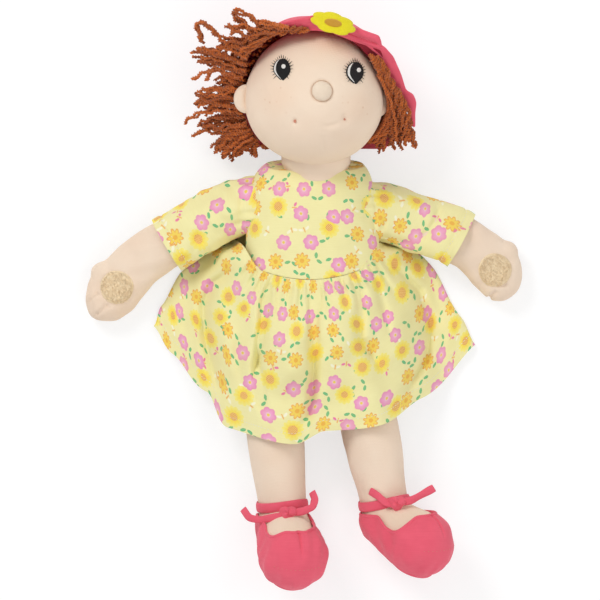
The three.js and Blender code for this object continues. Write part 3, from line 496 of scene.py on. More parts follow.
def patch(outline: Outline, lay: Lay, thickness: float, around: int = 72) -> Shell:
    """A padded patch with a rounded rim, laid on a surface.

    Args:
        outline: Its outline at each angle, as x and y in mm.
        lay: Puts x, y and a height on the surface.
        thickness: How thick it is in its middle.
        around: How many points its rim has.

    Returns:
        The surface, closed underneath.
    """
    x, y = outline(turns(around))
    middle = x.mean(), y.mean()
    shares = (0.03, 0.2, 0.4, 0.6, 0.75, 0.86, 0.94, 0.985, 1.0, 1.0)
    lifts = (1, 1, 0.99, 0.97, 0.92, 0.82, 0.62, 0.35, 0.0, -0.6)
    rows = []
    for s, lift in zip(shares, lifts):
        px, py = (m + (rim - m) * s for m, rim in zip(middle, (x, y)))
        rows.append(lay(px, py, np.full(around, thickness * lift)))
    shell = grid(np.array(rows), closed=True, flip=True)
    centre = len(shell.points)
    rim = list(range(centre - around, centre))
    shell.points = np.vstack([shell.points, rows[-1].mean(axis=0)])
    shell.faces += [tuple(range(around))] + [(b, a, centre) for a, b in zip(rim, rim[1:] + rim[:1])]
    return shell


@dataclass(frozen=True)
class Crease:
    """A crease or, with a height above zero, a ridge, drawn where the picture shows it."""

    seen: Seen
    height: float
    width: float
    fade: float = 0.3
    spread: float = 1.0

    def change(self, points: Array) -> Array:
        """The height that it adds at each point.

        Args:
            points: The points, in mm.

        Returns:
            The added height.
        """
        line = on_photo(self.seen)
        flat = points[:, :2]
        best = np.full(len(flat), 1e9)
        along = np.zeros(len(flat))
        steps = lengths(np.diff(line, axis=0))
        done = 0.0
        for a, b, length in zip(line, line[1:], steps):
            share = np.clip((flat - a) @ (b - a) / length**2, 0, 1)
            gap = lengths(flat - (a + share[:, None] * (b - a)))
            near = gap < best
            best = np.where(near, gap, best)
            along = np.where(near, (done + share * length) / steps.sum(), along)
            done += length
        ends = smooth(0, self.fade, 1 - along)
        if self.spread == 1:
            ends = ends * smooth(0, self.fade, along)
        return self.height * hump(best, self.width * (1 + (self.spread - 1) * along)) * ends


def creased(points: Array, creases: Iterable[Crease]) -> Array:
    """How much creases and ridges together change the height of points seen from above."""
    return sum(crease.change(points) for crease in creases)


# Meshes


def linked(name: str, data: Any) -> Piece:
    """Puts a new object with its data in the scene."""
    made = bpy.data.objects.new(name, data)
    bpy.context.scene.collection.objects.link(made)
    return made


def mesh_object(name: str, shell: Shell, material: Material | None = None) -> Piece:
    """A smooth mesh object at the origin, from a surface in mm.

    Args:
        name: The piece's name.
        shell: Its surface.
        material: Its material.

    Returns:
        The object.
    """
    mesh = bpy.data.meshes.new(name)
    mesh.from_pydata((shell.points * MM).tolist(), [], shell.faces)
    mesh.validate()
    if shell.values:
        layer = mesh.uv_layers.new(name=CLOTH_UV)
        order = np.zeros(len(mesh.loops), np.int32)
        mesh.loops.foreach_get("vertex_index", order)
        flat = np.stack([shell.values["u"], shell.values["v"]], axis=1)[order] * MM
        layer.data.foreach_set("uv", flat.astype(np.float32).ravel())
    mesh.shade_smooth()
    if material is not None:
        mesh.materials.append(material)
    return linked(name, mesh)


def applied(piece: Piece) -> Piece:
    """Turns a piece's modifiers into plain mesh.

    Args:
        piece: The object with modifiers.

    Returns:
        The same object.
    """
    bpy.context.view_layer.update()
    graph = bpy.context.evaluated_depsgraph_get()
    mesh = bpy.data.meshes.new_from_object(piece.evaluated_get(graph))
    piece.modifiers.clear()
    piece.data = mesh
    mesh.name = piece.name
    return piece


def modified(piece: Piece, kind: str, **settings: Any) -> Piece:
    """Adds a modifier of a kind with its settings, and gives the same object back."""
    modifier = piece.modifiers.new(kind.title(), kind)
    for name, value in settings.items():
        setattr(modifier, name, value)
    return piece


def column_of(piece: Piece, name: str) -> Array:
    """The places or the outward directions of a piece's points, one row each."""
    flat = np.zeros(len(piece.data.vertices) * 3)
    piece.data.vertices.foreach_get(name, flat)
    return flat.reshape(-1, 3)


def points_of(piece: Piece) -> Array:
    """A piece's points in mm, one row each."""
    return column_of(piece, "co") / MM


def moved(piece: Piece, points: Array) -> None:
    """Puts a piece's points at new places in mm."""
    piece.data.vertices.foreach_set("co", (points * MM).ravel())
    piece.data.update()


def cloth_piece(name: str, shell: Shell, material: Material, thick: float, offset: float = -1) -> Piece:
    """A surface given the thickness of its cloth.

    Args:
        name: The piece's name.
        shell: Its outer surface.
        material: Its material.
        thick: The cloth's thickness in mm.
        offset: Which way it grows: -1 inwards, 1 outwards.

    Returns:
        The piece.
    """
    piece = mesh_object(name, shell, material)
    applied(modified(piece, "SOLIDIFY", thickness=thick * MM, offset=offset, use_even_offset=False))
    piece.data.set_sharp_from_angle(angle=math.radians(55))
    return piece


def fused(name: str, shells: Sequence[Shell], voxel: float, material: Material) -> Piece:
    """Closed surfaces grown together into one soft skin.

    Args:
        name: The piece's name.
        shells: The closed surfaces.
        voxel: The mesh's grain in mm.
        material: Its material.

    Returns:
        The piece.
    """
    faces, start = [], 0
    for shell in shells:
        faces += [tuple(i + start for i in face) for face in shell.faces]
        start += len(shell.points)
    piece = mesh_object(name, Shell(np.vstack([shell.points for shell in shells]), faces))
    modified(piece, "REMESH", mode="VOXEL", voxel_size=voxel * MM, use_smooth_shade=True)
    applied(modified(piece, "SMOOTH", factor=0.5, iterations=10))
    piece.data.materials.clear()
    piece.data.materials.append(material)
    piece.data.shade_smooth()
    return piece


def stands_for(piece: Piece, nodes: Sequence[str], slot: str) -> None:
    """Hides the CAD nodes that a piece replaces, and reports the piece and those nodes."""
    if nodes:
        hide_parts(*nodes)
    LOG.info("%s: %d faces, for %s", piece.name, len(piece.data.polygons), ", ".join(nodes) or "trim")


def dressed(piece: Piece, body: str, nodes: Sequence[str], slot: str) -> None:
    """Finishes a piece that rides on one body.

    Args:
        piece: The piece.
        body: The body that it rides on.
        nodes: The CAD nodes that it replaces.
        slot: The record's material slot; it is not used.
    """
    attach(piece, body)
    stands_for(piece, nodes, slot)


# Node trees


class Wire:
    """One value in a node tree, written in sums as numbers are."""

    def __init__(self, socket: bpy.types.NodeSocket) -> None:
        """Holds a node's output."""
        self.socket = socket

    def out(self, name: str | int) -> Wire:
        """Another output of the same node."""
        return Wire(self.socket.node.outputs[name])

    def math(self, operation: str, *others: Number) -> Wire:
        """This value and others through one sum of the Math node."""
        return Pen(self.socket.id_data).node("ShaderNodeMath", 0, {"operation": operation}, (self, *others))

    def __add__(self, other: Number) -> Wire:
        """The sum."""
        return self.math("ADD", other)

    def __sub__(self, other: Number) -> Wire:
        """The difference."""
        return self.math("SUBTRACT", other)

    def __mul__(self, other: Number) -> Wire:
        """The product."""
        return self.math("MULTIPLY", other)

    def __truediv__(self, other: Number) -> Wire:
        """The share."""
        return self.math("DIVIDE", other)

    def above(self, limit: Number, soft: float) -> Wire:
        """1 where this value is over a limit, 0 under it, with a soft edge."""
        return ((self - limit) * (1 / soft) + 0.5).math("MAXIMUM", 0.0).math("MINIMUM", 1.0)

    def below(self, limit: Number, soft: float) -> Wire:
        """1 where this value is under a limit, 0 over it, with a soft edge."""
        return self.above(limit, -soft)


def plug(value: Any, socket: bpy.types.NodeSocket) -> None:
    """Links a wire to a socket, or writes a plain value in it.

    Args:
        value: A wire, a number, a colour or a vector.
        socket: The input.
    """
    if isinstance(value, Wire):
        socket.id_data.links.new(value.socket, socket)
    elif isinstance(value, tuple):
        socket.default_value = value
    else:
        socket.default_value = type(socket.default_value)(value)


def tint(red: int, green: int, blue: int) -> tuple[float, float, float, float]:
    """A colour as it is seen on a screen, for a shader."""
    parts = [c / 255 for c in (red, green, blue)]
    line = [c / 12.92 if c <= 0.04045 else ((c + 0.055) / 1.055) ** 2.4 for c in parts]
    return (*line, 1.0)


class Pen:
    """Places nodes in one node tree."""

    def __init__(self, tree: bpy.types.NodeTree) -> None:
        """Takes the tree that it writes in."""
        self.tree = tree

    def node(
        self, kind: str, output: str | int = 0, settings: Settings = None, first: Sequence[Any] = (),
        **inputs: Any,
    ) -> Wire:
        """A node with its inputs filled.

        Args:
            kind: The node's type.
            output: The output that is wanted.
            settings: Its properties by name.
            first: Its first inputs, in order.
            inputs: Its inputs by name, with an underscore for each space.

        Returns:
            The wanted output.
        """
        node = self.tree.nodes.new(kind)
        for name, value in (settings or {}).items():
            setattr(node, name, value)
        for socket, value in zip(node.inputs, first):
            plug(value, socket)
        for name, value in inputs.items():
            plug(value, node.inputs[name.replace("_", " ")])
        return Wire(node.outputs[output])

    def mix(self, share: Number, one: Any, other: Any) -> Wire:
        """Two colours mixed by a share."""
        mixed = self.node("ShaderNodeMix", 2, {"data_type": "RGBA"}, (share,))
        for place, colour in ((6, one), (7, other)):
            plug(colour, mixed.socket.node.inputs[place])
        return mixed

    def noise(self, place: Wire, scale: Number, detail: float = 2.0, rough: float = 0.5) -> Wire:
        """Soft noise, from 0 to 1."""
        return self.node("ShaderNodeTexNoise", Vector=place, Scale=scale, Detail=detail, Roughness=rough)

    def split(self, vector: Wire) -> tuple[Wire, Wire, Wire]:
        """A vector's three numbers."""
        x = self.node("ShaderNodeSeparateXYZ", Vector=vector)
        return x, x.out(1), x.out(2)

    def group(self, name: str, **inputs: Any) -> Wire:
        """A shared effect's first output, placed with its own values."""
        return self.node("ShaderNodeGroup", 0, {"node_tree": bpy.data.node_groups[name]}, **inputs)


class Tree(Pen):
    """A node group with named inputs and outputs."""

    def __init__(self, name: str, kind: str, takes: dict[str, str | float], gives: dict[str, str]) -> None:
        """Starts the group.

        Args:
            name: The group's name.
            kind: Shader or Geometry.
            takes: Its inputs, each with a number's default or another socket's kind.
            gives: Its outputs, each with its kind.
        """
        super().__init__(bpy.data.node_groups.new(name, kind + "NodeTree"))
        ends = self.tree.interface
        for label, value in takes.items():
            if isinstance(value, str):
                ends.new_socket(label, in_out="INPUT", socket_type="NodeSocket" + value)
            else:
                ends.new_socket(label, in_out="INPUT", socket_type="NodeSocketFloat").default_value = value
        for label, value in gives.items():
            ends.new_socket(label, in_out="OUTPUT", socket_type="NodeSocket" + value)
        entry = self.tree.nodes.new("NodeGroupInput")
        self.exit = self.tree.nodes.new("NodeGroupOutput")
        self.given = {label: Wire(entry.outputs[label]) for label in takes}

    def give(self, *values: Wire) -> None:
        """Fills the group's outputs, in order."""
        for value, socket in zip(values, self.exit.inputs):
            plug(value, socket)


# Shared shader effects


def effect(name: str, gives: Sequence[str] = ("Height",), **sizes: float) -> tuple[Tree, Wire]:
    """Starts a shared effect that is laid over a place, and gives it with that place."""
    tree = Tree(name, "Shader", {"Place": "Vector", **sizes}, {label: "Float" for label in gives})
    return tree, tree.given["Place"]


def knit() -> None:
    """Fine jersey: columns of small stitches."""
    pen, place = effect("knit", Pitch=0.0008)
    x, y, z = pen.split(place)
    turn = 2 * math.pi
    across = (x + z * 0.6) / pen.given["Pitch"]
    along = (y + z * 0.35) / pen.given["Pitch"]
    column = (across * turn).math("SINE").math("ABSOLUTE")
    row = ((along * (turn * 0.7)) + (across * (turn / 2)).math("SINE") * 1.2).math("SINE")
    pen.give(column * 0.6 + row * 0.4)


def weave() -> None:
    """Plain weave: threads over and under, with uneven yarns."""
    pen, place = effect("weave", ("Height", "Slub"), Pitch=0.0006)
    x, y, z = pen.split(place)
    across = (x + z * 0.7) / pen.given["Pitch"]
    along = (y + z * 0.4) / pen.given["Pitch"]
    warp = (across * math.pi).math("SINE").math("ABSOLUTE")
    weft = (along * math.pi).math("SINE").math("ABSOLUTE")
    over = ((across.math("FLOOR") + along.math("FLOOR")) * math.pi).math("COSINE")
    height = warp * (over * 0.25 + 0.5) + weft * (over * -0.25 + 0.5)
    yarns = pen.node("ShaderNodeCombineXYZ", X=x * 90, Y=y * 1400, Z=z * 90)
    pen.give(height, pen.noise(yarns, 1.0))


def mottle() -> None:
    """Uneven dye and handling: a share from -0.5 to 0.5."""
    pen, place = effect("mottle", ("Share",), Size=60.0)
    pen.give(pen.noise(place, pen.given["Size"], 3.0) - 0.5)


def fuzz() -> None:
    """The tiny loose fibres of a soft surface."""
    pen, place = effect("fuzz", Grain=2500.0)
    pen.give(pen.noise(place, pen.given["Grain"], 4.0, 0.7))


def satin() -> None:
    """Satin stitch: close threads side by side."""
    pen, place = effect("satin", Pitch=0.0005)
    x, y, _ = pen.split(place)
    pen.give(((x * 0.35 + y) * (2 * math.pi) / pen.given["Pitch"]).math("SINE").math("ABSOLUTE"))


@dataclass
class FlowerPrint:
    """The dress's scattered flowers: blossoms, daisies, sunflowers and leaves, placed by chance."""

    hard: float = 0.001
    leaf_share: float = 0.66
    leaves: Seen = ((2.6, 0.6, 0.5), (-2.6, 0.6, -0.5))

    def __post_init__(self) -> None:
        """Starts the group and shakes its place a little."""
        self.pen = pen = Tree("flowers", "Shader", {"Place": "Vector"}, {"Color": "Color"})
        given = pen.given["Place"]
        warp = pen.node("ShaderNodeTexNoise", 1, Vector=given, Scale=700.0, Detail=2.0)
        jitter = pen.node("ShaderNodeVectorMath", 0, {"operation": "SCALE"}, Vector=warp, Scale=0.0009)
        self.place = pen.node("ShaderNodeVectorMath", 0, {"operation": "ADD"}, (given, jitter))
        pen.give(self._flowers(self._leaves(tint(243, 236, 176))))

    def _scatter(self, cell: float, shift: float, chance: float) -> tuple[Wire, ...]:
        """Motifs at random places.

        Args:
            cell: How far apart they lie, in mm.
            shift: Which pattern it is.
            chance: How far each strays from its cell's middle.

        Returns:
            The offset from the nearest one's middle, and three random numbers.
        """
        x, y, _ = self.pen.split(self.place)
        scale = 1000 / cell
        spot = self.pen.node("ShaderNodeCombineXYZ", X=x * scale + shift, Y=y * scale + shift * 1.7)
        given = {"Vector": spot, "Scale": 1.0, "Randomness": chance}
        cells = self.pen.node("ShaderNodeTexVoronoi", "Position", {"voronoi_dimensions": "2D"}, **given)
        sx, sy, _ = self.pen.split(spot)
        cx, cy, _ = self.pen.split(cells)
        return (sx - cx) * cell, (sy - cy) * cell, *self.pen.split(cells.out("Color"))

    def _leaves(self, colour: Any) -> Wire:
        """Pairs of leaves, pale blossoms and pink buds on the cloth's colour.

        Args:
            colour: The cloth's colour.

        Returns:
            The colour with them.
        """
        mix, hard, share = self.pen.mix, self.hard, self.leaf_share
        dx, dy, turn, kind, _ = self._scatter(15.5, 3.3, 0.75)
        angle = turn * (2 * math.pi)
        cosine, sine = angle.math("COSINE"), angle.math("SINE")
        lx, ly = dx * cosine + dy * sine, dy * cosine - dx * sine
        for place_x, place_y, lean in self.leaves:
            px, py = lx - place_x, ly - place_y
            ex, ey = px + py * lean, py - px * lean
            reach = ((ex * ex) / 6.4 + (ey * ey) / 1.7).math("SQRT")
            vein = ey.math("ABSOLUTE").below(0.16, 0.1)
            green = mix(vein * 0.5, tint(88, 186, 128), tint(150, 214, 160))
            colour = mix(reach.below(1.0, 0.2) * kind.below(share, hard), colour, green)
            wing = reach.below(0.85, 0.3) * kind.below(0.84, hard) * kind.above(share, hard)
            colour = mix(wing * 0.8, colour, tint(252, 250, 232))
            colour = mix(reach.below(0.8, 0.25) * kind.above(0.84, hard), colour, tint(236, 118, 170))
        stem = lx.math("ABSOLUTE").below(0.45, 0.3) * ly.math("ABSOLUTE").below(2.0, 0.4)
        return mix(stem * kind.above(share, hard) * 0.9, colour, tint(240, 170, 90))

    def _flowers(self, colour: Wire) -> Wire:
        """Pink blossoms, golden daisies and sunflowers over the leaves.

        Args:
            colour: The colour under them.

        Returns:
            The colour with them.
        """
        mix, hard = self.pen.mix, self.hard
        dx, dy, turn, kind, other = self._scatter(19.0, 11.0, 0.62)
        far = (dx * dx + dy * dy).math("SQRT")
        angle = dy.math("ARCTAN2", dx) + turn * (2 * math.pi)

        def petals(count: int, size: float, deep: float) -> Wire:
            """How far the petals reach at a point's angle."""
            return (angle * (count / 2)).math("COSINE").math("ABSOLUTE") * (size * deep) + size * (1 - deep)

        reach = petals(6, 6.1, 0.2)
        pink = mix((far / reach).below(0.72, 0.5), tint(234, 142, 190), tint(240, 166, 206))
        pink = mix(far.below(1.9, 0.7), pink, tint(244, 200, 214))
        pink = mix(far.below(1.1, 0.4), pink, tint(236, 206, 90))
        colour = mix(far.below(reach, 0.35) * kind.below(0.36, hard), colour, pink)
        reach = petals(9, 6.2, 0.36)
        gold = mix(far.below(reach - 1.0, 0.5), tint(238, 166, 84), tint(248, 214, 92))
        gold = mix(far.below(1.7, 0.5), gold, tint(240, 178, 70))
        colour = mix(far.below(reach, 0.35) * kind.above(0.36, hard) * kind.below(0.68, hard), colour, gold)
        reach = petals(12, 8.0, 0.16)
        bright = mix(far.below(reach - 2.2, 2.4), tint(248, 234, 128), tint(250, 224, 84))
        lattice = ((dx + dy) * 4.0).math("SINE").math("MAXIMUM", ((dx - dy) * 4.0).math("SINE"))
        heart = mix(lattice.below(0.6, 0.3), tint(246, 204, 130), tint(226, 152, 70))
        bright = mix(far.below(other * 1.2 + 2.6, 0.4), bright, heart)
        return mix(far.below(reach, 0.5) * kind.above(0.68, hard), colour, bright)


# Finishes


@dataclass(frozen=True)
class Finish:
    """A soft surface: its colour, how uneven it is and how its threads stand up."""

    name: str
    colour: tuple[int, int, int]
    shade: tuple[int, int, int]
    roughness: float = 0.9
    sheen: float = 0.15
    pitch: float = 0.8
    height: float = 0.12
    unevenness: float = 0.5
    size: float = 60.0

    def texture(self, pen: Pen, place: Wire) -> tuple[Wire, Wire]:
        """The colour and the height in mm over the surface: here, dyed jersey."""
        colour = self.shaded(pen, self.mottled(pen, place) + 0.35)
        return colour, pen.group("knit", Place=place, Pitch=self.pitch * MM) * self.height

    def place(self, pen: Pen) -> Wire:
        """The coordinates that the pattern follows."""
        return pen.node("ShaderNodeTexCoord", "Object")

    def mottled(self, pen: Pen, place: Wire) -> Wire:
        """How much darker the surface is at a place."""
        return pen.group("mottle", Place=place, Size=self.size) * self.unevenness

    def shaded(self, pen: Pen, share: Wire) -> Wire:
        """The colour, with a share of its darker shade."""
        return pen.mix(share, tint(*self.colour), tint(*self.shade))

    def build(self) -> Material:
        """The finished material."""
        material = bpy.data.materials.new(self.name)
        material.use_nodes = True
        pen = Pen(material.node_tree)
        colour, height = self.texture(pen, self.place(pen))
        given = {
            "Roughness": self.roughness,
            "Sheen Weight": self.sheen,
            "Sheen Roughness": 0.5,
            "Specular IOR Level": 0.25,
            "Base Color": colour,
            "Normal": pen.node("ShaderNodeBump", Height=height, Distance=MM, Strength=1.0),
        }
        for name, value in given.items():
            plug(value, pen.tree.nodes["Principled BSDF"].inputs[name])
        return material


@dataclass(frozen=True)
class Woven(Finish):
    """A plain woven cloth with slightly uneven yarns."""

    def texture(self, pen: Pen, place: Wire) -> tuple[Wire, Wire]:
        """Dyed yarns, each a little lighter or darker than the next."""
        height = pen.group("weave", Place=place, Pitch=self.pitch * MM)
        share = self.mottled(pen, place) + 0.3 + (height.out("Slub") - 0.5) * 0.35
        return self.shaded(pen, share), height * self.height


@dataclass(frozen=True)
class Printed(Finish):
    """The dress's cotton, with its flowers, which follows the cloth and not the room."""

    def place(self, pen: Pen) -> Wire:
        """The cloth's own coordinates."""
        return pen.node("ShaderNodeUVMap", 0, {"uv_map": CLOTH_UV})

    def texture(self, pen: Pen, place: Wire) -> tuple[Wire, Wire]:
        """The flowers over the weave."""
        height = pen.group("weave", Place=place, Pitch=self.pitch * MM)
        share = self.mottled(pen, place) + 0.12 + (height.out("Slub") - 0.5) * 0.3
        return pen.mix(share, pen.group("flowers", Place=place), tint(*self.shade)), height * self.height


@dataclass(frozen=True)
class Freckled(Finish):
    """The face's jersey, with faint freckles on both cheeks."""

    cheeks: Seen = ((-25.0, 114.0), (36.5, 108.0))

    def texture(self, pen: Pen, place: Wire) -> tuple[Wire, Wire]:
        """The jersey, pinker and speckled on the cheeks.

        Args:
            pen: The material's pen.
            place: Where on the piece a point lies.

        Returns:
            The colour and the height.
        """
        colour, height = Finish.texture(self, pen, place)
        x, y, _ = pen.split(place)
        cells = pen.node("ShaderNodeTexVoronoi", "Distance", Vector=place, Scale=260.0, Randomness=1.0)
        few = cells.below(0.22, 0.12) * pen.split(cells.out("Color"))[0].below(0.45, 0.05)
        for across, up in self.cheeks:
            dx, dy = (x - across * MM) * (1 / (13 * MM)), (y - up * MM) * (1 / (12 * MM))
            near = (dx * dx + dy * dy).math("SQRT").below(0.9, 0.9)
            colour = pen.mix(near * 0.12, colour, tint(232, 184, 150))
            colour = pen.mix(few * near * 0.3, colour, tint(206, 148, 96))
        return colour, height


@dataclass(frozen=True)
class Yarn(Finish):
    """Fuzzy twisted yarn, each strand its own shade."""

    # The glow colour is a painted highlight laid on the raised fuzz.
    glow: tuple[int, int, int] = (232, 146, 76)

    def texture(self, pen: Pen, place: Wire) -> tuple[Wire, Wire]:
        """Painted shade where the fuzz lies low and a painted highlight where it is raised, with each
        strand's own tone.
        """
        strand = pen.node("ShaderNodeAttribute", "Fac", {"attribute_name": "shade"})
        fine = pen.group("fuzz", Place=place, Grain=1400.0)
        colour = self.shaded(pen, strand * 0.7 + pen.group("mottle", Place=place, Size=320.0))
        # The fuzz noise that raises the bump also lightens the colour: a painted highlight on raised fibres
        # and painted shade between them.
        return pen.mix((fine - 0.5) * 1.6, colour, tint(*self.glow)), fine * self.height


@dataclass(frozen=True)
class Thread(Finish):
    """Satin-stitched embroidery thread."""

    def texture(self, pen: Pen, place: Wire) -> tuple[Wire, Wire]:
        """Threads side by side, with painted shade in the grooves between them."""
        height = pen.group("satin", Place=place, Pitch=self.pitch * MM)
        # The grooves between threads take the darker colour, which is painted shade, and the raised threads
        # the lighter one.
        return pen.mix(height * 0.5, tint(*self.shade), tint(*self.colour)), height * self.height


@dataclass(frozen=True)
class Felt(Finish):
    """Pressed felt or loop pile: matt, with loose fibres."""

    grain: float = 1500.0

    def texture(self, pen: Pen, place: Wire) -> tuple[Wire, Wire]:
        """Speckled fibres."""
        fine = pen.group("fuzz", Place=place, Grain=self.grain)
        return self.shaded(pen, (fine - 0.5) * 1.4 + self.mottled(pen, place) + 0.3), fine * self.height


class Wardrobe:
    """Every material of the doll."""

    def __init__(self) -> None:
        """Builds the shared effects and the materials."""
        for shared in (knit, weave, mottle, fuzz, satin, FlowerPrint):
            shared()
        skin = {"colour": (247, 229, 208), "shade": (233, 200, 172), "sheen": 0.1}
        nose = {"colour": (243, 225, 203), "shade": (226, 204, 180), "sheen": 0.1}
        pile = {"roughness": 1.0, "height": 0.5, "size": 90.0, "grain": 1900.0}
        thread = {"sheen": 0.0, "pitch": 0.5}
        thick = {"sheen": 0.0, "pitch": 0.6}
        # The second coral pair is painted shade: coral darkened for the sheet under the hat's brim.
        coral, painted_shade_red = ((242, 104, 124), (216, 70, 94)), ((158, 24, 48), (116, 12, 32))
        cotton, tape = ((243, 236, 176), (222, 206, 128)), ((244, 242, 236), (214, 210, 200))
        yellow, orange = ((238, 226, 44), (206, 186, 26)), ((246, 196, 60), (224, 158, 44))
        black, white = ((34, 34, 36), (12, 12, 13)), ((255, 254, 250), (236, 232, 224))
        blush, seam = ((230, 166, 140), (208, 134, 110)), ((236, 210, 184), (214, 180, 152))
        brown, cream = ((214, 112, 42), (142, 62, 16)), ((252, 232, 196), (232, 200, 156))
        finishes = {
            "skin": Finish("skin_jersey", height=0.1, unevenness=0.7, size=28.0, **skin),
            "face": Freckled("face_jersey", height=0.08, unevenness=0.6, size=24.0, **skin),
            "nose": Finish("nose_jersey", height=0.1, unevenness=0.8, size=90.0, **nose),
            "dress": Printed("printed_cotton", *cotton, pitch=0.45, height=0.05, unevenness=0.35),
            "red": Woven("coral_twill", *coral, pitch=0.7, height=0.09),
            # The hat's underside in shadow, as a darker coral cloth: painted shade.
            "lining": Woven("hat_lining", *painted_shade_red, pitch=0.7, height=0.09),
            "yarn": Yarn("brown_yarn", *brown, height=0.5, sheen=0.3, roughness=1.0),
            "black": Thread("black_thread", *black, roughness=0.5, height=0.12, **thread),
            "white": Thread("white_thread", *white, roughness=0.6, height=0.1, **thread),
            "blush": Thread("blush_thread", *blush, roughness=0.7, height=0.1, **thick),
            "seam": Thread("skin_thread", *seam, roughness=0.8, height=0.08, **thick),
            "hook": Felt("loop_pile", *cream, **pile),
            "felt": Felt("yellow_felt", *yellow, roughness=1.0, height=0.25, size=140.0),
            "heart": Thread("orange_thread", *orange, roughness=0.7, sheen=0.1, pitch=0.9, height=0.3),
            "tape": Woven("closing_tape", *tape, pitch=0.5, height=0.05),
        }
        self.materials = {slot: finish.build() for slot, finish in finishes.items()}

    def __getitem__(self, finish: str) -> Material:
        """The material of a finish."""
        return self.materials[finish]


# Geometry Nodes: yarn, stitches and tufts


class Deck(Tree):
    """A Geometry Nodes tree with named inputs, grown on points and turned into plain mesh."""

    def __init__(self, name: str, **sizes: float) -> None:
        """Starts the tree with its number inputs."""
        takes = {"Geometry": "Geometry", "Material": "Material", **sizes}
        super().__init__(name, "Geometry", takes, {"Geometry": "Geometry"})

    def part(self, kind: str, output: str | int = 0, settings: Settings = None, **inputs: Any) -> Wire:
        """A Geometry node with its inputs filled."""
        return self.node("GeometryNode" + kind, output, settings, **inputs)

    def close(self, geometry: Wire) -> None:
        """Ends the tree in Realize Instances and Set Material."""
        real = self.part("RealizeInstances", Geometry=geometry)
        self.give(self.part("SetMaterial", Geometry=real, Material=self.given["Material"]))

    def path(self, step: str) -> Wire:
        """The given paths as curves, with points a named step apart."""
        curve = self.part("MeshToCurve", Mesh=self.given["Geometry"])
        return self.part("ResampleCurve", 0, {"mode": "LENGTH"}, Curve=curve, Length=self.given[step])

    def laid(self, points: Wire, shape: Wire, way: Wire, **more: Wire) -> None:
        """Lays a shape of the tree's Width and Length on points, along a way, and ends the tree.

        Args:
            points: The points.
            shape: The shape, one long.
            way: Which way each looks.
            more: Further inputs of Instance on Points.
        """
        wide = self.given["Width"]
        size = self.node("ShaderNodeCombineXYZ", X=wide, Y=wide, Z=self.given["Length"])
        thread = self.part("Transform", Geometry=shape, Scale=size)
        turned_so = self.node("FunctionNodeAlignRotationToVector", 0, {"axis": "Z"}, Vector=way)
        self.close(self.part("InstanceOnPoints", Points=points, Instance=thread, Rotation=turned_so, **more))

    def grown(
        self, name: str, points: Array, edges: Edges, material: Material, sizes: dict[str, float],
        **values: Array,
    ) -> Piece:
        """Runs the tree on a set of points and turns the result into plain mesh.

        Args:
            name: The piece's name.
            points: The points in mm.
            edges: The paths between them.
            material: The piece's material.
            sizes: The tree's lengths, in mm.
            values: Attributes of the points, one or three numbers each.

        Returns:
            The piece.
        """
        mesh = bpy.data.meshes.new(name)
        mesh.from_pydata((points * MM).tolist(), edges, [])
        for label, column in values.items():
            kind, field_name = ("FLOAT", "value") if column.ndim == 1 else ("FLOAT_VECTOR", "vector")
            layer = mesh.attributes.new(label, kind, "POINT")
            layer.data.foreach_set(field_name, column.astype(np.float32).ravel())
        made = linked(name, mesh)
        modifier = made.modifiers.new("Grown", "NODES")
        modifier.node_group = self.tree
        for item in self.tree.interface.items_tree:
            if item.in_out == "INPUT" and item.name in sizes:
                modifier[item.identifier] = sizes[item.name] * MM
            if item.in_out == "INPUT" and item.name == "Material":
                modifier[item.identifier] = material
        applied(made).data.shade_smooth()
        return made


def yarn_deck() -> Deck:
    """Two plies twisted round each path, uneven and fuzzy."""
    deck = Deck("twisted_yarn", Radius=0.0016, Pitch=0.006, Step=0.001, Lump=0.0004)
    radius = deck.given["Radius"]
    turn = deck.part("SplineParameter", "Length") / deck.given["Pitch"] * (2 * math.pi)
    tilted = deck.part("SetCurveTilt", Curve=deck.path("Step"), Tilt=turn)
    ply = deck.part("CurvePrimitiveCircle", Resolution=5, Radius=radius * 0.62)
    both = deck.part("JoinGeometry")
    for way in (0.52, -0.52):
        shift = deck.node("ShaderNodeCombineXYZ", X=radius * way)
        plug(deck.part("Transform", Geometry=ply, Translation=shift), both.socket.node.inputs[0])
    body = deck.part("CurveToMesh", Curve=tilted, Profile_Curve=both, Fill_Caps=True)
    noise = deck.noise(deck.part("InputPosition"), 420.0).out("Color")
    centred = deck.node("ShaderNodeVectorMath", 0, {"operation": "SUBTRACT"}, (noise, (0.5, 0.5, 0.5)))
    scale = deck.given["Lump"] * 4.0
    shaken = deck.node("ShaderNodeVectorMath", 0, {"operation": "SCALE"}, Vector=centred, Scale=scale)
    deck.close(deck.part("SetPosition", Geometry=body, Offset=shaken))
    return deck


def stitch_deck() -> Deck:
    """Short threads laid end to end along each path."""
    deck = Deck("stitch_row", Spacing=0.0026, Length=0.0017, Width=0.0005)
    bead = deck.part("MeshUVSphere", Segments=6, Rings=5, Radius=0.5)
    deck.laid(deck.path("Spacing"), bead, deck.part("InputTangent"))
    return deck


def tuft_deck() -> Deck:
    """A tapered thread standing at each point, leaning the way its attribute says."""
    deck = Deck("tufts", Length=0.002, Width=0.0004)
    cone = deck.part("MeshCone", Vertices=5, Radius_Top=0.12, Radius_Bottom=0.5, Depth=1.0)
    lean = deck.part("InputNamedAttribute", 0, {"data_type": "FLOAT_VECTOR"}, Name="lean")
    long = deck.part("InputNamedAttribute", 0, {"data_type": "FLOAT"}, Name="long")
    deck.laid(deck.part("MeshToPoints", Mesh=deck.given["Geometry"]), cone, lean, Scale=long)
    return deck


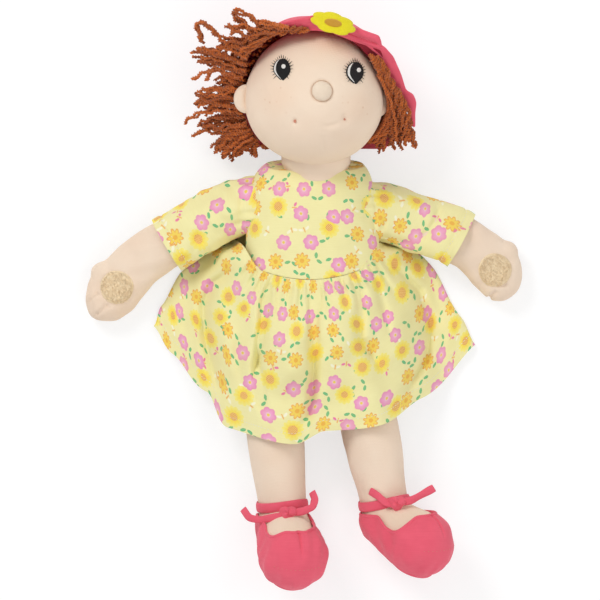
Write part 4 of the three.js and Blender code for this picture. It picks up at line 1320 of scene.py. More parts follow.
class Trimmings:
    """The Geometry Nodes trees for what repeats: yarn, stitches and tufts."""

    def __init__(self) -> None:
        """Builds the trees once."""
        self.yarn, self.stitches, self.tufts = yarn_deck(), stitch_deck(), tuft_deck()

    def row(
        self, name: str, path: Array, thread: str, length: float = 1.7, width: float = 0.4,
        spacing: float = 2.6, closed: bool = False,
    ) -> Piece:
        """A row of stitches along one path.

        Args:
            name: The piece's name.
            path: The path's points in mm.
            thread: Its finish.
            length: Each stitch's length in mm.
            width: The thread's width in mm.
            spacing: From one stitch to the next, in mm.
            closed: Whether the path runs back to its start.

        Returns:
            The row.
        """
        count = len(path)
        edges = [(i, i + 1) for i in range(count - 1)] + ([(count - 1, 0)] if closed else [])
        sizes = {"Spacing": spacing, "Length": length, "Width": width}
        return self.stitches.grown(name, path, edges, WARDROBE[thread], sizes)


WARDROBE = Wardrobe()
TRIMMINGS = Trimmings()


# The doll


@dataclass
class Build:
    """The sizes that the CAD part gives its pieces, in mm."""

    cloth: float = 1.1
    gap: float = 0.35
    press: float = 0.5
    torso_width: float = 98
    torso_depth: float = 56
    crotch_y: float = -96
    shoulder_y: float = 66
    crotch_dome: float = 30
    shoulder_dome: float = 23
    shoulder_narrowing: float = 9
    hip_middle: float = 5
    head_size: Place = (107, 107, 98)
    neck_x: float = 4.5
    neck_z: float = 36
    neck_ball_y: float = 76
    chin: float = 48.0
    left_cheek: float = 50.6

    def skull(self, away: Array) -> Array:
        """The head's half sizes on the side where each point lies, seen from its middle."""
        radii = np.tile(np.array(self.head_size) / 2, (*away.shape[:-1], 1))
        radii[..., 0] = np.where(away[..., 0] > 0, self.left_cheek, radii[..., 0])
        radii[..., 1] = np.where(away[..., 1] < 0, self.chin, radii[..., 1])
        return radii

    @property
    def torso_z(self) -> float:
        """The height of the torso's middle."""
        return self.cloth + self.gap - self.press + self.torso_depth / 2

    @property
    def head(self) -> Array:
        """The head's middle."""
        seat = 1.6 + 0.9 + 6 + 2 * self.gap - self.press
        return np.array([4.5, 112, seat + self.head_size[2] / 2])

    def torso(self, grow: float) -> Tube:
        """The torso's tube, made larger all round.

        Args:
            grow: How much larger, in mm.

        Returns:
            The tube.
        """
        z = self.torso_z
        route = Route([[self.hip_middle, self.crotch_y, z], [0, self.shoulder_y, z]])
        return Tube(
            route,
            lambda t: (self.torso_width - self.shoulder_narrowing * smooth(0.55, 1, t)) / 2,
            lambda t: np.full(np.shape(t), self.torso_depth / 2),
            self.crotch_dome,
            self.shoulder_dome,
            grow,
        )

    def clear_of_chin(self, points: Array, room: float, nod: float = 8) -> Array:
        """Points pressed down out of the room that the head takes when it turns and nods.

        Args:
            points: The points in mm.
            room: How much room is left.
            nod: The nod that is kept free, in degrees.

        Returns:
            The pressed points.
        """
        pressed = points.copy()
        pivot = np.array([self.neck_x, self.neck_ball_y, self.neck_z])
        radii = np.array([self.head_size[0] / 2, self.chin, self.head_size[2] / 2]) + room
        for turn in np.radians((0, 15, -15, 30, -30, 45, -45, 60, -60)):
            middle = pivot + turned(self.head - pivot, (1, 0, 0), math.radians(nod))
            middle = pivot + turned(middle - pivot, (0, 1, 0), turn)
            away = (pressed - middle) / radii
            flat = 1 - away[:, 0] ** 2 - away[:, 2] ** 2
            low = middle[1] - radii[1] * np.sqrt(np.clip(flat, 0, None))
            inside = (flat > 0) & (pressed[:, 1] > low) & (pressed[:, 1] < middle[1] + radii[1])
            pressed[inside, 1] = low[inside]
        return pressed


def turned(vector: Array, axis: Sequence[float], angle: float) -> Array:
    """A vector turned about an axis, which is one long, by an angle in radians."""
    axis = np.asarray(axis, float)
    along = (vector @ axis) * axis
    return along + (vector - along) * math.cos(angle) + np.cross(axis, vector) * math.sin(angle)


BUILD = Build()
ARM_ROUTE = {
    Side.RIGHT: [
        (-56, 31, 22), (-82, 17.5, 18), (-109, 3.5, 17.5), (-129, -10, 15), (-145, -28, 12),
        (-163, -51, 11.5),
    ],
    Side.LEFT: [
        (58.5, 28, 22), (82, 19, 19), (110, 8.6, 20), (128, -3, 17), (139, -15, 12), (146, -38, 11.5),
    ],
}
LEG_ROUTE = {
    Side.RIGHT: [(-28.5, -101, 25), (-25, -150, 23.5), (-21, -190, 20.5), (-20.5, -205, 19.8)],
    Side.LEFT: [(39, -101, 25), (47, -145, 23.5), (55, -185, 20.5), (57.5, -203, 19.8)],
}


def on_head(x: Array, y: Array, lift: Array | float, grow: float = 0.0) -> Array:
    """Points on the front of the head.

    Args:
        x: Their places across, in mm.
        y: Their places up.
        lift: Their height over the skin.
        grow: How much the head is made larger first.

    Returns:
        The points.
    """
    away = np.stack([np.asarray(x, float) - BUILD.head[0], np.asarray(y, float) - BUILD.head[1]], axis=-1)
    radii = BUILD.skull(away) + grow
    flat = np.clip(1 - ((away / radii[..., :2]) ** 2).sum(axis=-1), 0, 1)
    place = np.concatenate([away, (radii[..., 2] * np.sqrt(flat))[..., None]], axis=-1)
    return BUILD.head + place + unit(place / radii**2) * np.asarray(lift, float)[..., None]


@dataclass
class Trunk:
    """The stuffed torso and the neck that carries the head."""

    neck_bottom: float = 47
    neck_top: float = 84
    neck_girth: Seen = ((0, 21), (0.25, 21.5), (0.42, 26), (0.75, 26), (1, 22))

    def torso(self) -> None:
        """The torso, hidden by the dress but at the neckline."""
        shell = BUILD.torso(0).shell(80, 112)
        points = BUILD.clear_of_chin(shell.points, 3.2)
        points[:, 2] = np.maximum(points[:, 2] + 0.5 * lumps(points, 40, 3), BUILD.cloth + BUILD.gap)
        piece = mesh_object("torso_skin", Shell(points, shell.faces), WARDROBE["skin"])
        dressed(piece, "body", ["torso"], "skin")

    def neck(self) -> None:
        """The neck, with a fold under the chin."""
        x, z = BUILD.neck_x, BUILD.neck_z
        route = Route([[x, self.neck_bottom, z], [x, self.neck_top, z]])
        radius = lambda t: through(self.neck_girth, t)
        shell = Tube(route, radius, radius, 6, 8).shell(40, 96)
        ring = hump(shell.points[:, 1] - 62, 2.2)
        away = shell.points - np.array([x, 0, z])
        away[:, 1] = 0
        points = shell.points - away * (ring * 0.06)[:, None]
        piece = mesh_object("neck_skin", Shell(points, shell.faces), WARDROBE["skin"])
        dressed(piece, "neck", ["neck"], "skin")


@dataclass
class Head:
    """The head with its nose, ears, embroidered eyes and stitched smile."""

    nose_seen: tuple[float, float] = (321.9, 91.6)
    nose_radius: float = 7.5
    nose_out: float = 3.7
    dimples: Seen = ((294.4, 122.4), (345.4, 120.5))
    smile: Seen = ((319, 126), (329, 126.5), (338, 124), (345, 120.5))
    eye_seen: Seen = ((356, 73.5), (283, 70))
    glint_seen: Seen = ((358, 71), (284, 67.5))
    ear_seen: Seen = ((376.5, 103), (246, 99))
    eye_width: float = 11
    eye_height: float = 16.5
    eye_taper: float = 0.62
    white_shift: float = 1.25
    lashes: int = 21

    def skin(self) -> None:
        """The head's skin, with dimples and creases pulled in by the stitching."""
        shell = ball((1, 1, 1), 288, 190)
        radii = BUILD.skull(shell.points)
        points = BUILD.head + shell.points * radii
        deep = points[:, 2] - BUILD.head[2]
        push = 0.35 * lumps(points, 34, 11) * smooth(-20, 20, deep)
        front = smooth(0, 12, deep)
        right, left = self.dimples
        for seen, deep, wide in ((right, 1.2, 2.0), (right, 0.5, 6), (left, 1.2, 2.4), (left, 0.8, 8)):
            push -= deep * hump(lengths(points[:, :2] - spot(seen)), wide) * front
        creases = (
            Crease(self.smile, -0.7, 1.6, 0.4),
            Crease(((344.5, 121), (345.5, 113)), -0.5, 1.3, 0.4),
            Crease(((325, 133), (347, 127)), 0.7, 5, 0.4),
            Crease(((323, 134), (324.5, 154)), -0.45, 1.6, 0.4),
            Crease(((346, 104), (358, 114), (362, 124)), 0.6, 5, 0.4),
            Crease(((283, 108), (284, 121), (292, 130)), 0.4, 4.5, 0.4),
        )
        push += creased(points, creases) * front
        for seen in self.eye_seen[::-1]:
            push -= 0.7 * hump(lengths((points[:, :2] - spot(seen)) / np.array([8.5, 11])), 1) * front
        push -= 0.8 * hump(lengths(points[:, :2] - spot(self.nose_seen)) - self.nose_radius, 1.3) * front
        shell.points = points + unit(shell.points / radii) * push[:, None]
        piece = mesh_object("head_skin", shell, WARDROBE["face"])
        dressed(piece, "head", ["head"], "skin")

    def nose(self) -> None:
        """The round nose and the ring of thread that gathers it."""
        x, y = spot(self.nose_seen)
        middle = on_head(x, y, -0.4)
        way = unit(on_head(x, y, 1) - on_head(x, y, 0))
        shell = ball((self.nose_radius, self.nose_radius, self.nose_out), 64, 36)
        points = shell.points + 0.12 * lumps(shell.points, 6, 5)[:, None] * unit(shell.points.sum(axis=0) + 1)
        across = unit(np.cross((0, 1, 0), way))
        frame_of = np.array([across, np.cross(way, across), way])
        shell.points = points @ frame_of + middle
        piece = mesh_object("nose_skin", shell, WARDROBE["nose"])
        dressed(piece, "head", ["nose"], "skin")
        angle = turns(90)
        reach = self.nose_radius + 0.35
        path = on_head(x + reach * np.cos(angle), y + reach * np.sin(angle), 0.0)
        ring = mesh_object("nose_thread", swept(path, 0.2, 0.2, 6, True, way), WARDROBE["seam"])
        dressed(ring, "head", [], "skin")

    def ears(self) -> None:
        """Two flat ears with a hollow in front."""
        for side in Side:
            x, y = spot(side.of(self.ear_seen))
            z = BUILD.head[2] - side.sign * 4.2
            shell = ball((9.2, 10.8, 4.8), 64, 44)
            p = shell.points
            inner = np.exp(-(((p[:, 0] + side.sign * 2.0) / 3.4) ** 2) - ((p[:, 1] / 6.8) ** 2))
            p[:, 2] -= np.where(p[:, 2] > 0, 3.0 * inner, 0)
            p[:, 2] += 0.2 * lumps(p, 8, 21)
            shell.points = p + np.array([x, y, z])
            piece = mesh_object(f"ear_{side}_skin", shell, WARDROBE["skin"])
            dressed(piece, "head", [f"ear_{side}"], "skin")

    def eyes(self) -> None:
        """The black eyes with their white crescents, glints and lashes."""
        for side in Side:
            x, y = spot(side.of(self.eye_seen))

            def oval(wide: float, high: float, dx: float = 0, dy: float = 0, taper: float = 0) -> Outline:
                """An egg beside the eye's middle, narrower at its lower end."""

                def outline(angle: Array) -> tuple[Array, Array]:
                    """Its rim."""
                    narrow = 1 - taper * np.maximum(0, -np.sin(angle)) ** 2
                    return x + dx + wide / 2 * np.cos(angle) * narrow, y + dy + high / 2 * np.sin(angle)

                return outline

            wide, high, shift, taper = self.eye_width, self.eye_height, -self.white_shift, self.eye_taper
            white = oval(wide, high - 1.4, shift, 0.2, taper)
            glint = oval(3.2, 3.4, *(spot(side.of(self.glint_seen)) - (x, y)))
            for part, rim, base, thick, finish, nodes, around in (
                ("black", oval(wide, high, taper=taper), 0, 0.95, "black", [f"eye_{side}"], 72),
                ("line", oval(wide, high - 0.6, shift - 0.55, 0.2, taper), 0, 0.4, "black", [], 72),
                ("white", white, 0, 0.7, "white", [f"eye_white_{side}"], 72),
                ("glint", glint, 0.75, 0.5, "white", [f"eye_glint_{side}"], 24),
            ):
                lay = lambda px, py, lift, base=base: on_head(px, py, lift + base)
                piece = mesh_object(f"eye_{side}_{part}", patch(rim, lay, thick, around), WARDROBE[finish])
                dressed(piece, "head", nodes, finish)
            angle = np.radians(np.linspace(-38, 218, self.lashes))
            ox, oy = oval(wide + 1.2, high + 0.4, -0.9, 0.1, taper * 0.7)(angle)
            out = on_head(ox, oy, 0.35)
            lean = unit(on_head(x + (ox - x) * 1.12, y + (oy - y) * 1.12, 0.42) - out)
            size, long = {"Length": 3.1, "Width": 0.75}, 0.9 + 0.2 * np.sin(5 * angle)
            name = f"eye_{side}_lashes"
            lash = TRIMMINGS.tufts.grown(name, out, [], WARDROBE["black"], size, lean=lean, long=long)
            dressed(lash, "head", [], "black")

    def mouth(self) -> None:
        """The stitches that pull the corners of the mouth in."""
        sunk = lambda px, py, lift: on_head(px, py, lift - 1.5)
        for side, seen, size in zip((Side.RIGHT, Side.LEFT), self.dimples, (1.0, 0.6)):
            x, y = spot(seen)
            lean = 0.14 * side.sign

            def outline(angle: Array) -> tuple[Array, Array]:
                """A small upright oval, leaning outwards."""
                across = 0.95 * np.cos(angle) + lean * np.sin(angle)
                return x + size * across, y + size * 1.1 * np.sin(angle)

            name = f"mouth_stitch_{side}"
            piece = mesh_object(name + "_thread", patch(outline, sunk, 0.9, 24), WARDROBE["blush"])
            dressed(piece, "head", [name], "blush")


@dataclass
class Limbs:
    """The arms with their mitten hands, and the legs with their feet."""

    voxel: float = 1.5
    arm_root: float = 13.5
    arm_widths: Seen = ((0, 12.9), (0.3, 18.6), (0.6, 19), (0.8, 20.5), (1, 14))
    arm_depths: Seen = ((0, 12.9), (0.3, 15.5), (0.6, 13), (0.8, 12))
    thumb_way: Seen = ((0.6, 0.78, 0.1), (-0.8, 0.55, 0.1))
    grooves: tuple[tuple[Seen, Seen], ...] = (
        (((496, 286), (508, 285)), ((488, 299), (497, 291))),
        (((95, 316), (109, 304)), ((88, 302), (98.5, 291.5))),
    )
    hip_radius: float = 20
    leg_widths: Seen = ((0, 19.4), (0.3, 21.5), (1, 17.5))
    patch_radius: float = 12.5

    def arm(self, side: Side) -> None:
        """One arm and its palm dot.

        Args:
            side: Which arm.
        """
        route = Route(ARM_ROUTE[side])
        wide, deep = (lambda t, size=size: through(size, t) for size in (self.arm_widths, self.arm_depths))
        arm = Tube(route, wide, deep, 1, 14.4)
        start = route.at_knot(0.78)
        thumb_route = Route([start, start + unit(side.of(self.thumb_way)) * 24])
        round_thumb = lambda t: np.full(np.shape(t), 9.0)
        thumb = Tube(thumb_route, round_thumb, round_thumb, 8, 8)
        root = ball((self.arm_root,) * 3, middle=route.at(0))
        shells = [arm.shell(60, 56), thumb.shell(30, 36), root]
        piece = fused(f"arm_{side}_skin", shells, self.voxel, WARDROBE["skin"])
        points, normals = points_of(piece), column_of(piece, "normal")
        push = 0.35 * lumps(points, 17, 31 + side.sign)
        for seen in side.of(self.grooves):
            push -= creased(points, (Crease(seen, 2.0, 1.5, 0.12), Crease(seen, -0.7, 4.5, 0.3)))
        wrinkle = np.sin(lengths(points - route.at_knot(0.62)) * 0.75)
        push += 0.35 * wrinkle * hump(lengths(points - route.at_knot(0.6)), 18)
        moved(piece, points + normals * push[:, None])
        dressed(piece, f"arm_{side}", [f"arm_{side}"], "skin")
        self._palm(side, route.at_knot(0.8)[:2], self._over(piece))

    def _palm(self, side: Side, palm: Array, lay: Lay, loops: int = 900) -> None:
        """A palm's round dot with its loop pile.

        Args:
            side: Which hand.
            palm: The dot's middle, seen from above.
            lay: Puts points on the hand.
            loops: How many loops stand on it.
        """

        def outline(angle: Array) -> tuple[Array, Array]:
            """The dot's slightly uneven rim."""
            x = np.cos(angle) * (1 + 0.012 * np.sin(5 * angle))
            y = np.sin(angle) * (1 + 0.015 * np.cos(3 * angle))
            return palm[0] + self.patch_radius * x, palm[1] + self.patch_radius * y

        dot = mesh_object(f"palm_patch_{side}_pile", patch(outline, lay, 1.2, 96), WARDROBE["hook"])
        dressed(dot, f"arm_{side}", [f"palm_patch_{side}"], "hook")
        random = np.random.default_rng(7 + side.sign)
        far, turn = np.sqrt(random.uniform(0, 0.93, loops)), random.uniform(0, 2 * np.pi, loops)
        x, y = (palm[k] + self.patch_radius * far * wave(turn) for k, wave in enumerate((np.cos, np.sin)))
        roots = lay(x, y, np.full(loops, 1.2))
        lean = random.normal(size=(loops, 3)) * (1.0, 1.0, 0.25) + (0, 0, 0.5)
        size, long = {"Length": 1.0, "Width": 0.5}, random.uniform(0.6, 1.1, loops)
        name = f"palm_patch_{side}_loops"
        pile = TRIMMINGS.tufts.grown(name, roots, [], WARDROBE["hook"], size, lean=lean, long=long)
        dressed(pile, f"arm_{side}", [], "hook")

    @staticmethod
    def _over(piece: Piece) -> Lay:
        """A way to lay points on a piece seen from above.

        Args:
            piece: The piece.

        Returns:
            The way, as a function of x, y and a height.
        """
        bpy.context.view_layer.update()

        def lay(x: Array, y: Array, lift: Array) -> Array:
            """The points, each raised along the skin's own direction."""
            made = []
            for px, py, high in zip(x, y, lift):
                hit, place, normal, _ = piece.ray_cast(Vector((px * MM, py * MM, 0.2)), Vector((0, 0, -1)))
                place, normal = (np.array(place) / MM, normal) if hit else ((px, py, 14.0), (0, 0, 1))
                made.append(place + np.array(normal) * high)
            return np.array(made)

        return lay

    def leg(self, side: Side, shoe: Shoe) -> None:
        """One leg with its foot, which the shoe hides.

        Args:
            side: Which leg.
            shoe: The shoe, which knows the foot's shape.
        """
        route = Route(LEG_ROUTE[side])
        girth = lambda t: through(self.leg_widths, t)
        hip = ball((self.hip_radius,) * 3, middle=route.at(0))
        shells = [Tube(route, girth, girth, 1, 1).shell(60, 64), shoe.foot(0).shell(40, 48), hip]
        piece = fused(f"leg_{side}_skin", shells, self.voxel + 0.2, WARDROBE["skin"])
        points, normals = points_of(piece), column_of(piece, "normal")
        points -= shoe.down * np.maximum(shoe.below_sole(points), 0)[:, None]
        points = points + normals * (0.45 * lumps(points, 26, 41 + side.sign))[:, None]
        points[:, 2] = np.maximum(points[:, 2], BUILD.cloth + BUILD.gap)
        moved(piece, points)
        dressed(piece, f"leg_{side}", [f"leg_{side}"], "skin")


class Shoe:
    """A soft shoe: a gathered upper with a seam, a sole, and a ribbon round the ankle."""

    WAY = {Side.RIGHT: (0.22, -0.67, 0.709), Side.LEFT: (0.69, -0.47, 0.55)}
    KNOT = {Side.RIGHT: (288, 513), Side.LEFT: (397, 503)}
    TAILS = {
        Side.RIGHT: (
            ((284, 515), (272, 518), (259, 520), (249, 518), (243, 509)),
            ((292, 513), (304, 511), (313, 507), (315, 499), (312, 492)),
        ),
        Side.LEFT: (
            ((393, 505), (385, 502), (378, 496), (370, 491)),
            ((401, 503), (412, 500), (423, 494), (434, 488)),
        ),
    }
    THROAT = {
        Side.RIGHT: (
            (258, 515), (263.5, 521), (265.5, 533), (269, 537), (274, 537.5), (284, 533), (297, 529.8),
            (310.5, 527.5), (314, 522), (318, 512),
        ),
        Side.LEFT: (
            (362, 508), (370, 513), (377, 516.5), (384, 528), (391, 532.3), (396, 532.8), (402, 529.5),
            (410, 523), (418, 516.5), (424, 510),
        ),
    }
    throat_reach = 24.0
    heel_radius = 18.5
    toe_radius = 23.75
    cloth = 1.3
    reach = 36.0
    vamp_place = 28.0
    vamp_rise = 20.0

    def __init__(self, side: Side) -> None:
        """Works out the foot's directions from its leg.

        Args:
            side: Which foot.
        """
        self.side = side
        leg = Route(LEG_ROUTE[side])
        self.leg = leg
        self.heel = leg.at(1.0)
        self.way = unit(self.WAY[side])
        self.toe = self.heel + self.way * self.reach
        shin = -leg.way(1.0)
        self.instep = unit(shin - self.way * (shin @ self.way))
        self.across = np.cross(self.way, self.instep)
        sole_from = self.heel - self.instep * 13
        sole_to = self.toe - self.instep * 17
        self.sole_way = unit(sole_to - sole_from)
        self.span = float(np.linalg.norm(sole_to - sole_from))
        self.sole_from = sole_from
        down = unit(np.cross(self.sole_way, self.across))
        self.down = down if down @ self.instep < 0 else -down
        self.vamp = self.heel + self.way * self.vamp_place + self.instep * self.vamp_rise
        back = self.heel - self.way * self.heel_radius - self.instep * 3
        opening = unit(np.cross(self.vamp - back, self.across))
        self.opening = opening if opening @ self.instep > 0 else -opening

    def foot(self, grow: float) -> Tube:
        """The foot's tube, made larger all round."""
        route = Route([self.heel - self.way * self.heel_radius, self.toe + self.way * self.toe_radius])
        radius = lambda t: self.heel_radius + (self.toe_radius - self.heel_radius) * smooth(0.1, 0.75, t)
        return Tube(route, radius, radius, self.heel_radius, self.toe_radius, grow)

    def below_sole(self, points: Array, grow: float = 0.0) -> Array:
        """How far points lie under the foot's flat sole."""
        return (points - self.sole_from) @ self.down - grow

    def _dress(self, name: str, shell: Shell, nodes: Sequence[str] = ()) -> None:
        """Makes a red piece that rides with the leg."""
        dressed(mesh_object(name, shell, WARDROBE["red"]), f"leg_{self.side}", nodes, "red")

    def upper(self) -> None:
        """The upper, with its seam, its toe gathers and its bound opening."""
        side, body = self.side, f"leg_{self.side}"
        grow = self.cloth + BUILD.gap + 0.3
        shell = self.foot(grow).shell(120, 280)
        points = shell.points
        forward = (points - self.heel) @ self.way
        middle = self.heel + forward[:, None] * self.way
        away = points - middle
        sideways = away @ self.across
        run = smooth(0, 10, away @ self.instep) * smooth(12, 20, forward) * smooth(60, 48, forward)
        push = 0.4 * hump(np.abs(sideways) - 2.2, 1.4) * run - 1.1 * hump(sideways, 0.9) * run
        turn = np.arctan2(sideways, forward - self.reach)
        gathers = np.sin(turn * 13 + 1.5 * np.sin(3 * turn)) * hump(-self.below_sole(points) - 12, 9)
        push += 0.9 * gathers * smooth(24, 40, forward) + 0.6 * lumps(points, 15, 51 + side.sign)
        points = points + away / (lengths(away)[:, None] + 1e-6) * push[:, None]
        points -= self.down * np.maximum(self.below_sole(points, grow), 0)[:, None]
        points[:, 2] = np.maximum(points[:, 2], 0)
        keep = -((points - self.vamp) @ self.opening)
        throat = on_photo(self.THROAT[side])
        beyond = np.interp(points[:, 0], throat[:, 0], throat[:, 1]) - points[:, 1]
        near = lengths(points[:, :2] - throat.mean(axis=0)) < self.throat_reach
        keep = np.where(near & (points[:, 2] > middle[:, 2]), np.minimum(keep, beyond), keep)
        cut = Shell(points, shell.faces).clipped(keep)
        upper = cloth_piece(f"shoe_{side}_upper", cut, WARDROBE["red"], self.cloth)
        dressed(upper, body, [f"shoe_{side}"], "red")
        edge = evened(rim_loop(cut), 120, True)
        edge += (edge.mean(axis=0) - edge) * (0.6 / lengths(edge - edge.mean(axis=0)))[:, None]
        self._dress(f"shoe_{side}_binding", swept(edge, 1.15, 1.5, 10, True, self.opening))
        heights = ((37, 24.7), (44, 23.4), (50, 20.7), (54, 18))
        seam = np.array([self.heel + self.way * f + self.instep * h for f, h in heights])
        seam = evened(seam, 30) + self.across * 2.2
        lean = np.radians(np.linspace(-48, 48, 40))[:, None]
        ahead = unit(self.way + 0.3 * self.instep)
        arc = self.toe + (self.toe_radius + grow + 0.2) * (np.cos(lean) * ahead + np.sin(lean) * self.across)
        for row in (
            TRIMMINGS.row(f"shoe_{side}_stitches", seam, "red", width=0.5),
            TRIMMINGS.row(f"shoe_{side}_gather_stitches", arc, "blush", 0.9, spacing=3.3),
        ):
            dressed(row, body, [], "red")

    def sole(self) -> None:
        """The flat sole, which ends just inside the upper."""
        toe_half, heel_half = (
            math.sqrt((radius + self.cloth) ** 2 - (depth + self.cloth) ** 2) - 0.6
            for radius, depth in ((self.toe_radius, 17), (self.heel_radius, 13))
        )
        flat_across = np.cross(self.sole_way, self.down)
        start = self.sole_from + self.down * (2 * BUILD.gap + self.cloth)

        def lay(x: Array, y: Array, lift: Array) -> Array:
            """Points on the sole's plane, not under the floor."""
            made = start + x[:, None] * flat_across + y[:, None] * self.sole_way + lift[:, None] * self.down
            made[:, 2] = np.maximum(made[:, 2], 0)
            return made

        def outline(angle: Array) -> tuple[Array, Array]:
            """Two half rounds and the straights between them."""
            front = np.sin(angle) > 0
            radius = np.where(front, toe_half, heel_half)
            return radius * np.cos(angle), np.where(front, self.span, 0) + radius * np.sin(angle)

        self._dress(f"sole_{self.side}_cloth", patch(outline, lay, 2.2, 128), [f"sole_{self.side}"])

    def tie(self) -> None:
        """The ribbon round the ankle, its knot and its two ends."""
        side = self.side
        share = 1 - 13.5 / self.leg.length
        ankle, axis = self.leg.at(share), self.leg.way(share)
        first = unit(np.cross(axis, (0, 0, 1)))
        second = np.cross(first, axis)
        angle = turns(140)
        radius = 17.5 + BUILD.gap + 0.9 + 0.25 * np.sin(5 * angle)
        ring = ankle + np.outer(radius * np.cos(angle), first) + np.outer(radius * np.sin(angle), second)
        ring += axis * (0.8 * np.sin(angle * 2))[:, None]
        out = ring - ankle
        ring[:, 2] = np.maximum(ring[:, 2], 1.0)
        strap = swept(ring, 3.7, 0.95, 12, True, out)
        self._dress(f"ankle_strap_{side}_ribbon", strap, [f"ankle_strap_{side}"])
        knot = ball((6.2, 5.2, 4.4), 40, 28)
        p = knot.points
        lobes = 1 + 0.16 * np.sin(3 * np.arctan2(p[:, 1], p[:, 0]) + p[:, 2] * 0.5)
        high = ankle[2] + 17.5 + 2.2 + 3.0
        knot.points = p * lobes[:, None] + (*spot(self.KNOT[side]), high)
        self._dress(f"ankle_knot_{side}_ribbon", knot, [f"ankle_knot_{side}"])
        wave = np.linspace(0, 1, 40)
        up = np.column_stack([0.5 * np.sin(5 * wave), 0.25 * np.cos(4 * wave), np.ones(40)])
        wide = 2.9 - 0.7 * hump(wave, 0.15) + 0.25 * np.sin(9 * wave)
        for end, seen in zip(("outer", "inner")[:: -side.sign], self.TAILS[side]):
            flat = on_photo(seen)
            share = np.linspace(0, 1, len(flat))
            path = evened(np.column_stack([flat, high + 0.5 - 1.0 * share - 5.5 * share**2]), 40, rounds=6)
            name = f"tie_{end}_{side}"
            self._dress(name + "_ribbon", swept(path, wide, 0.8, 12, False, up), [name])


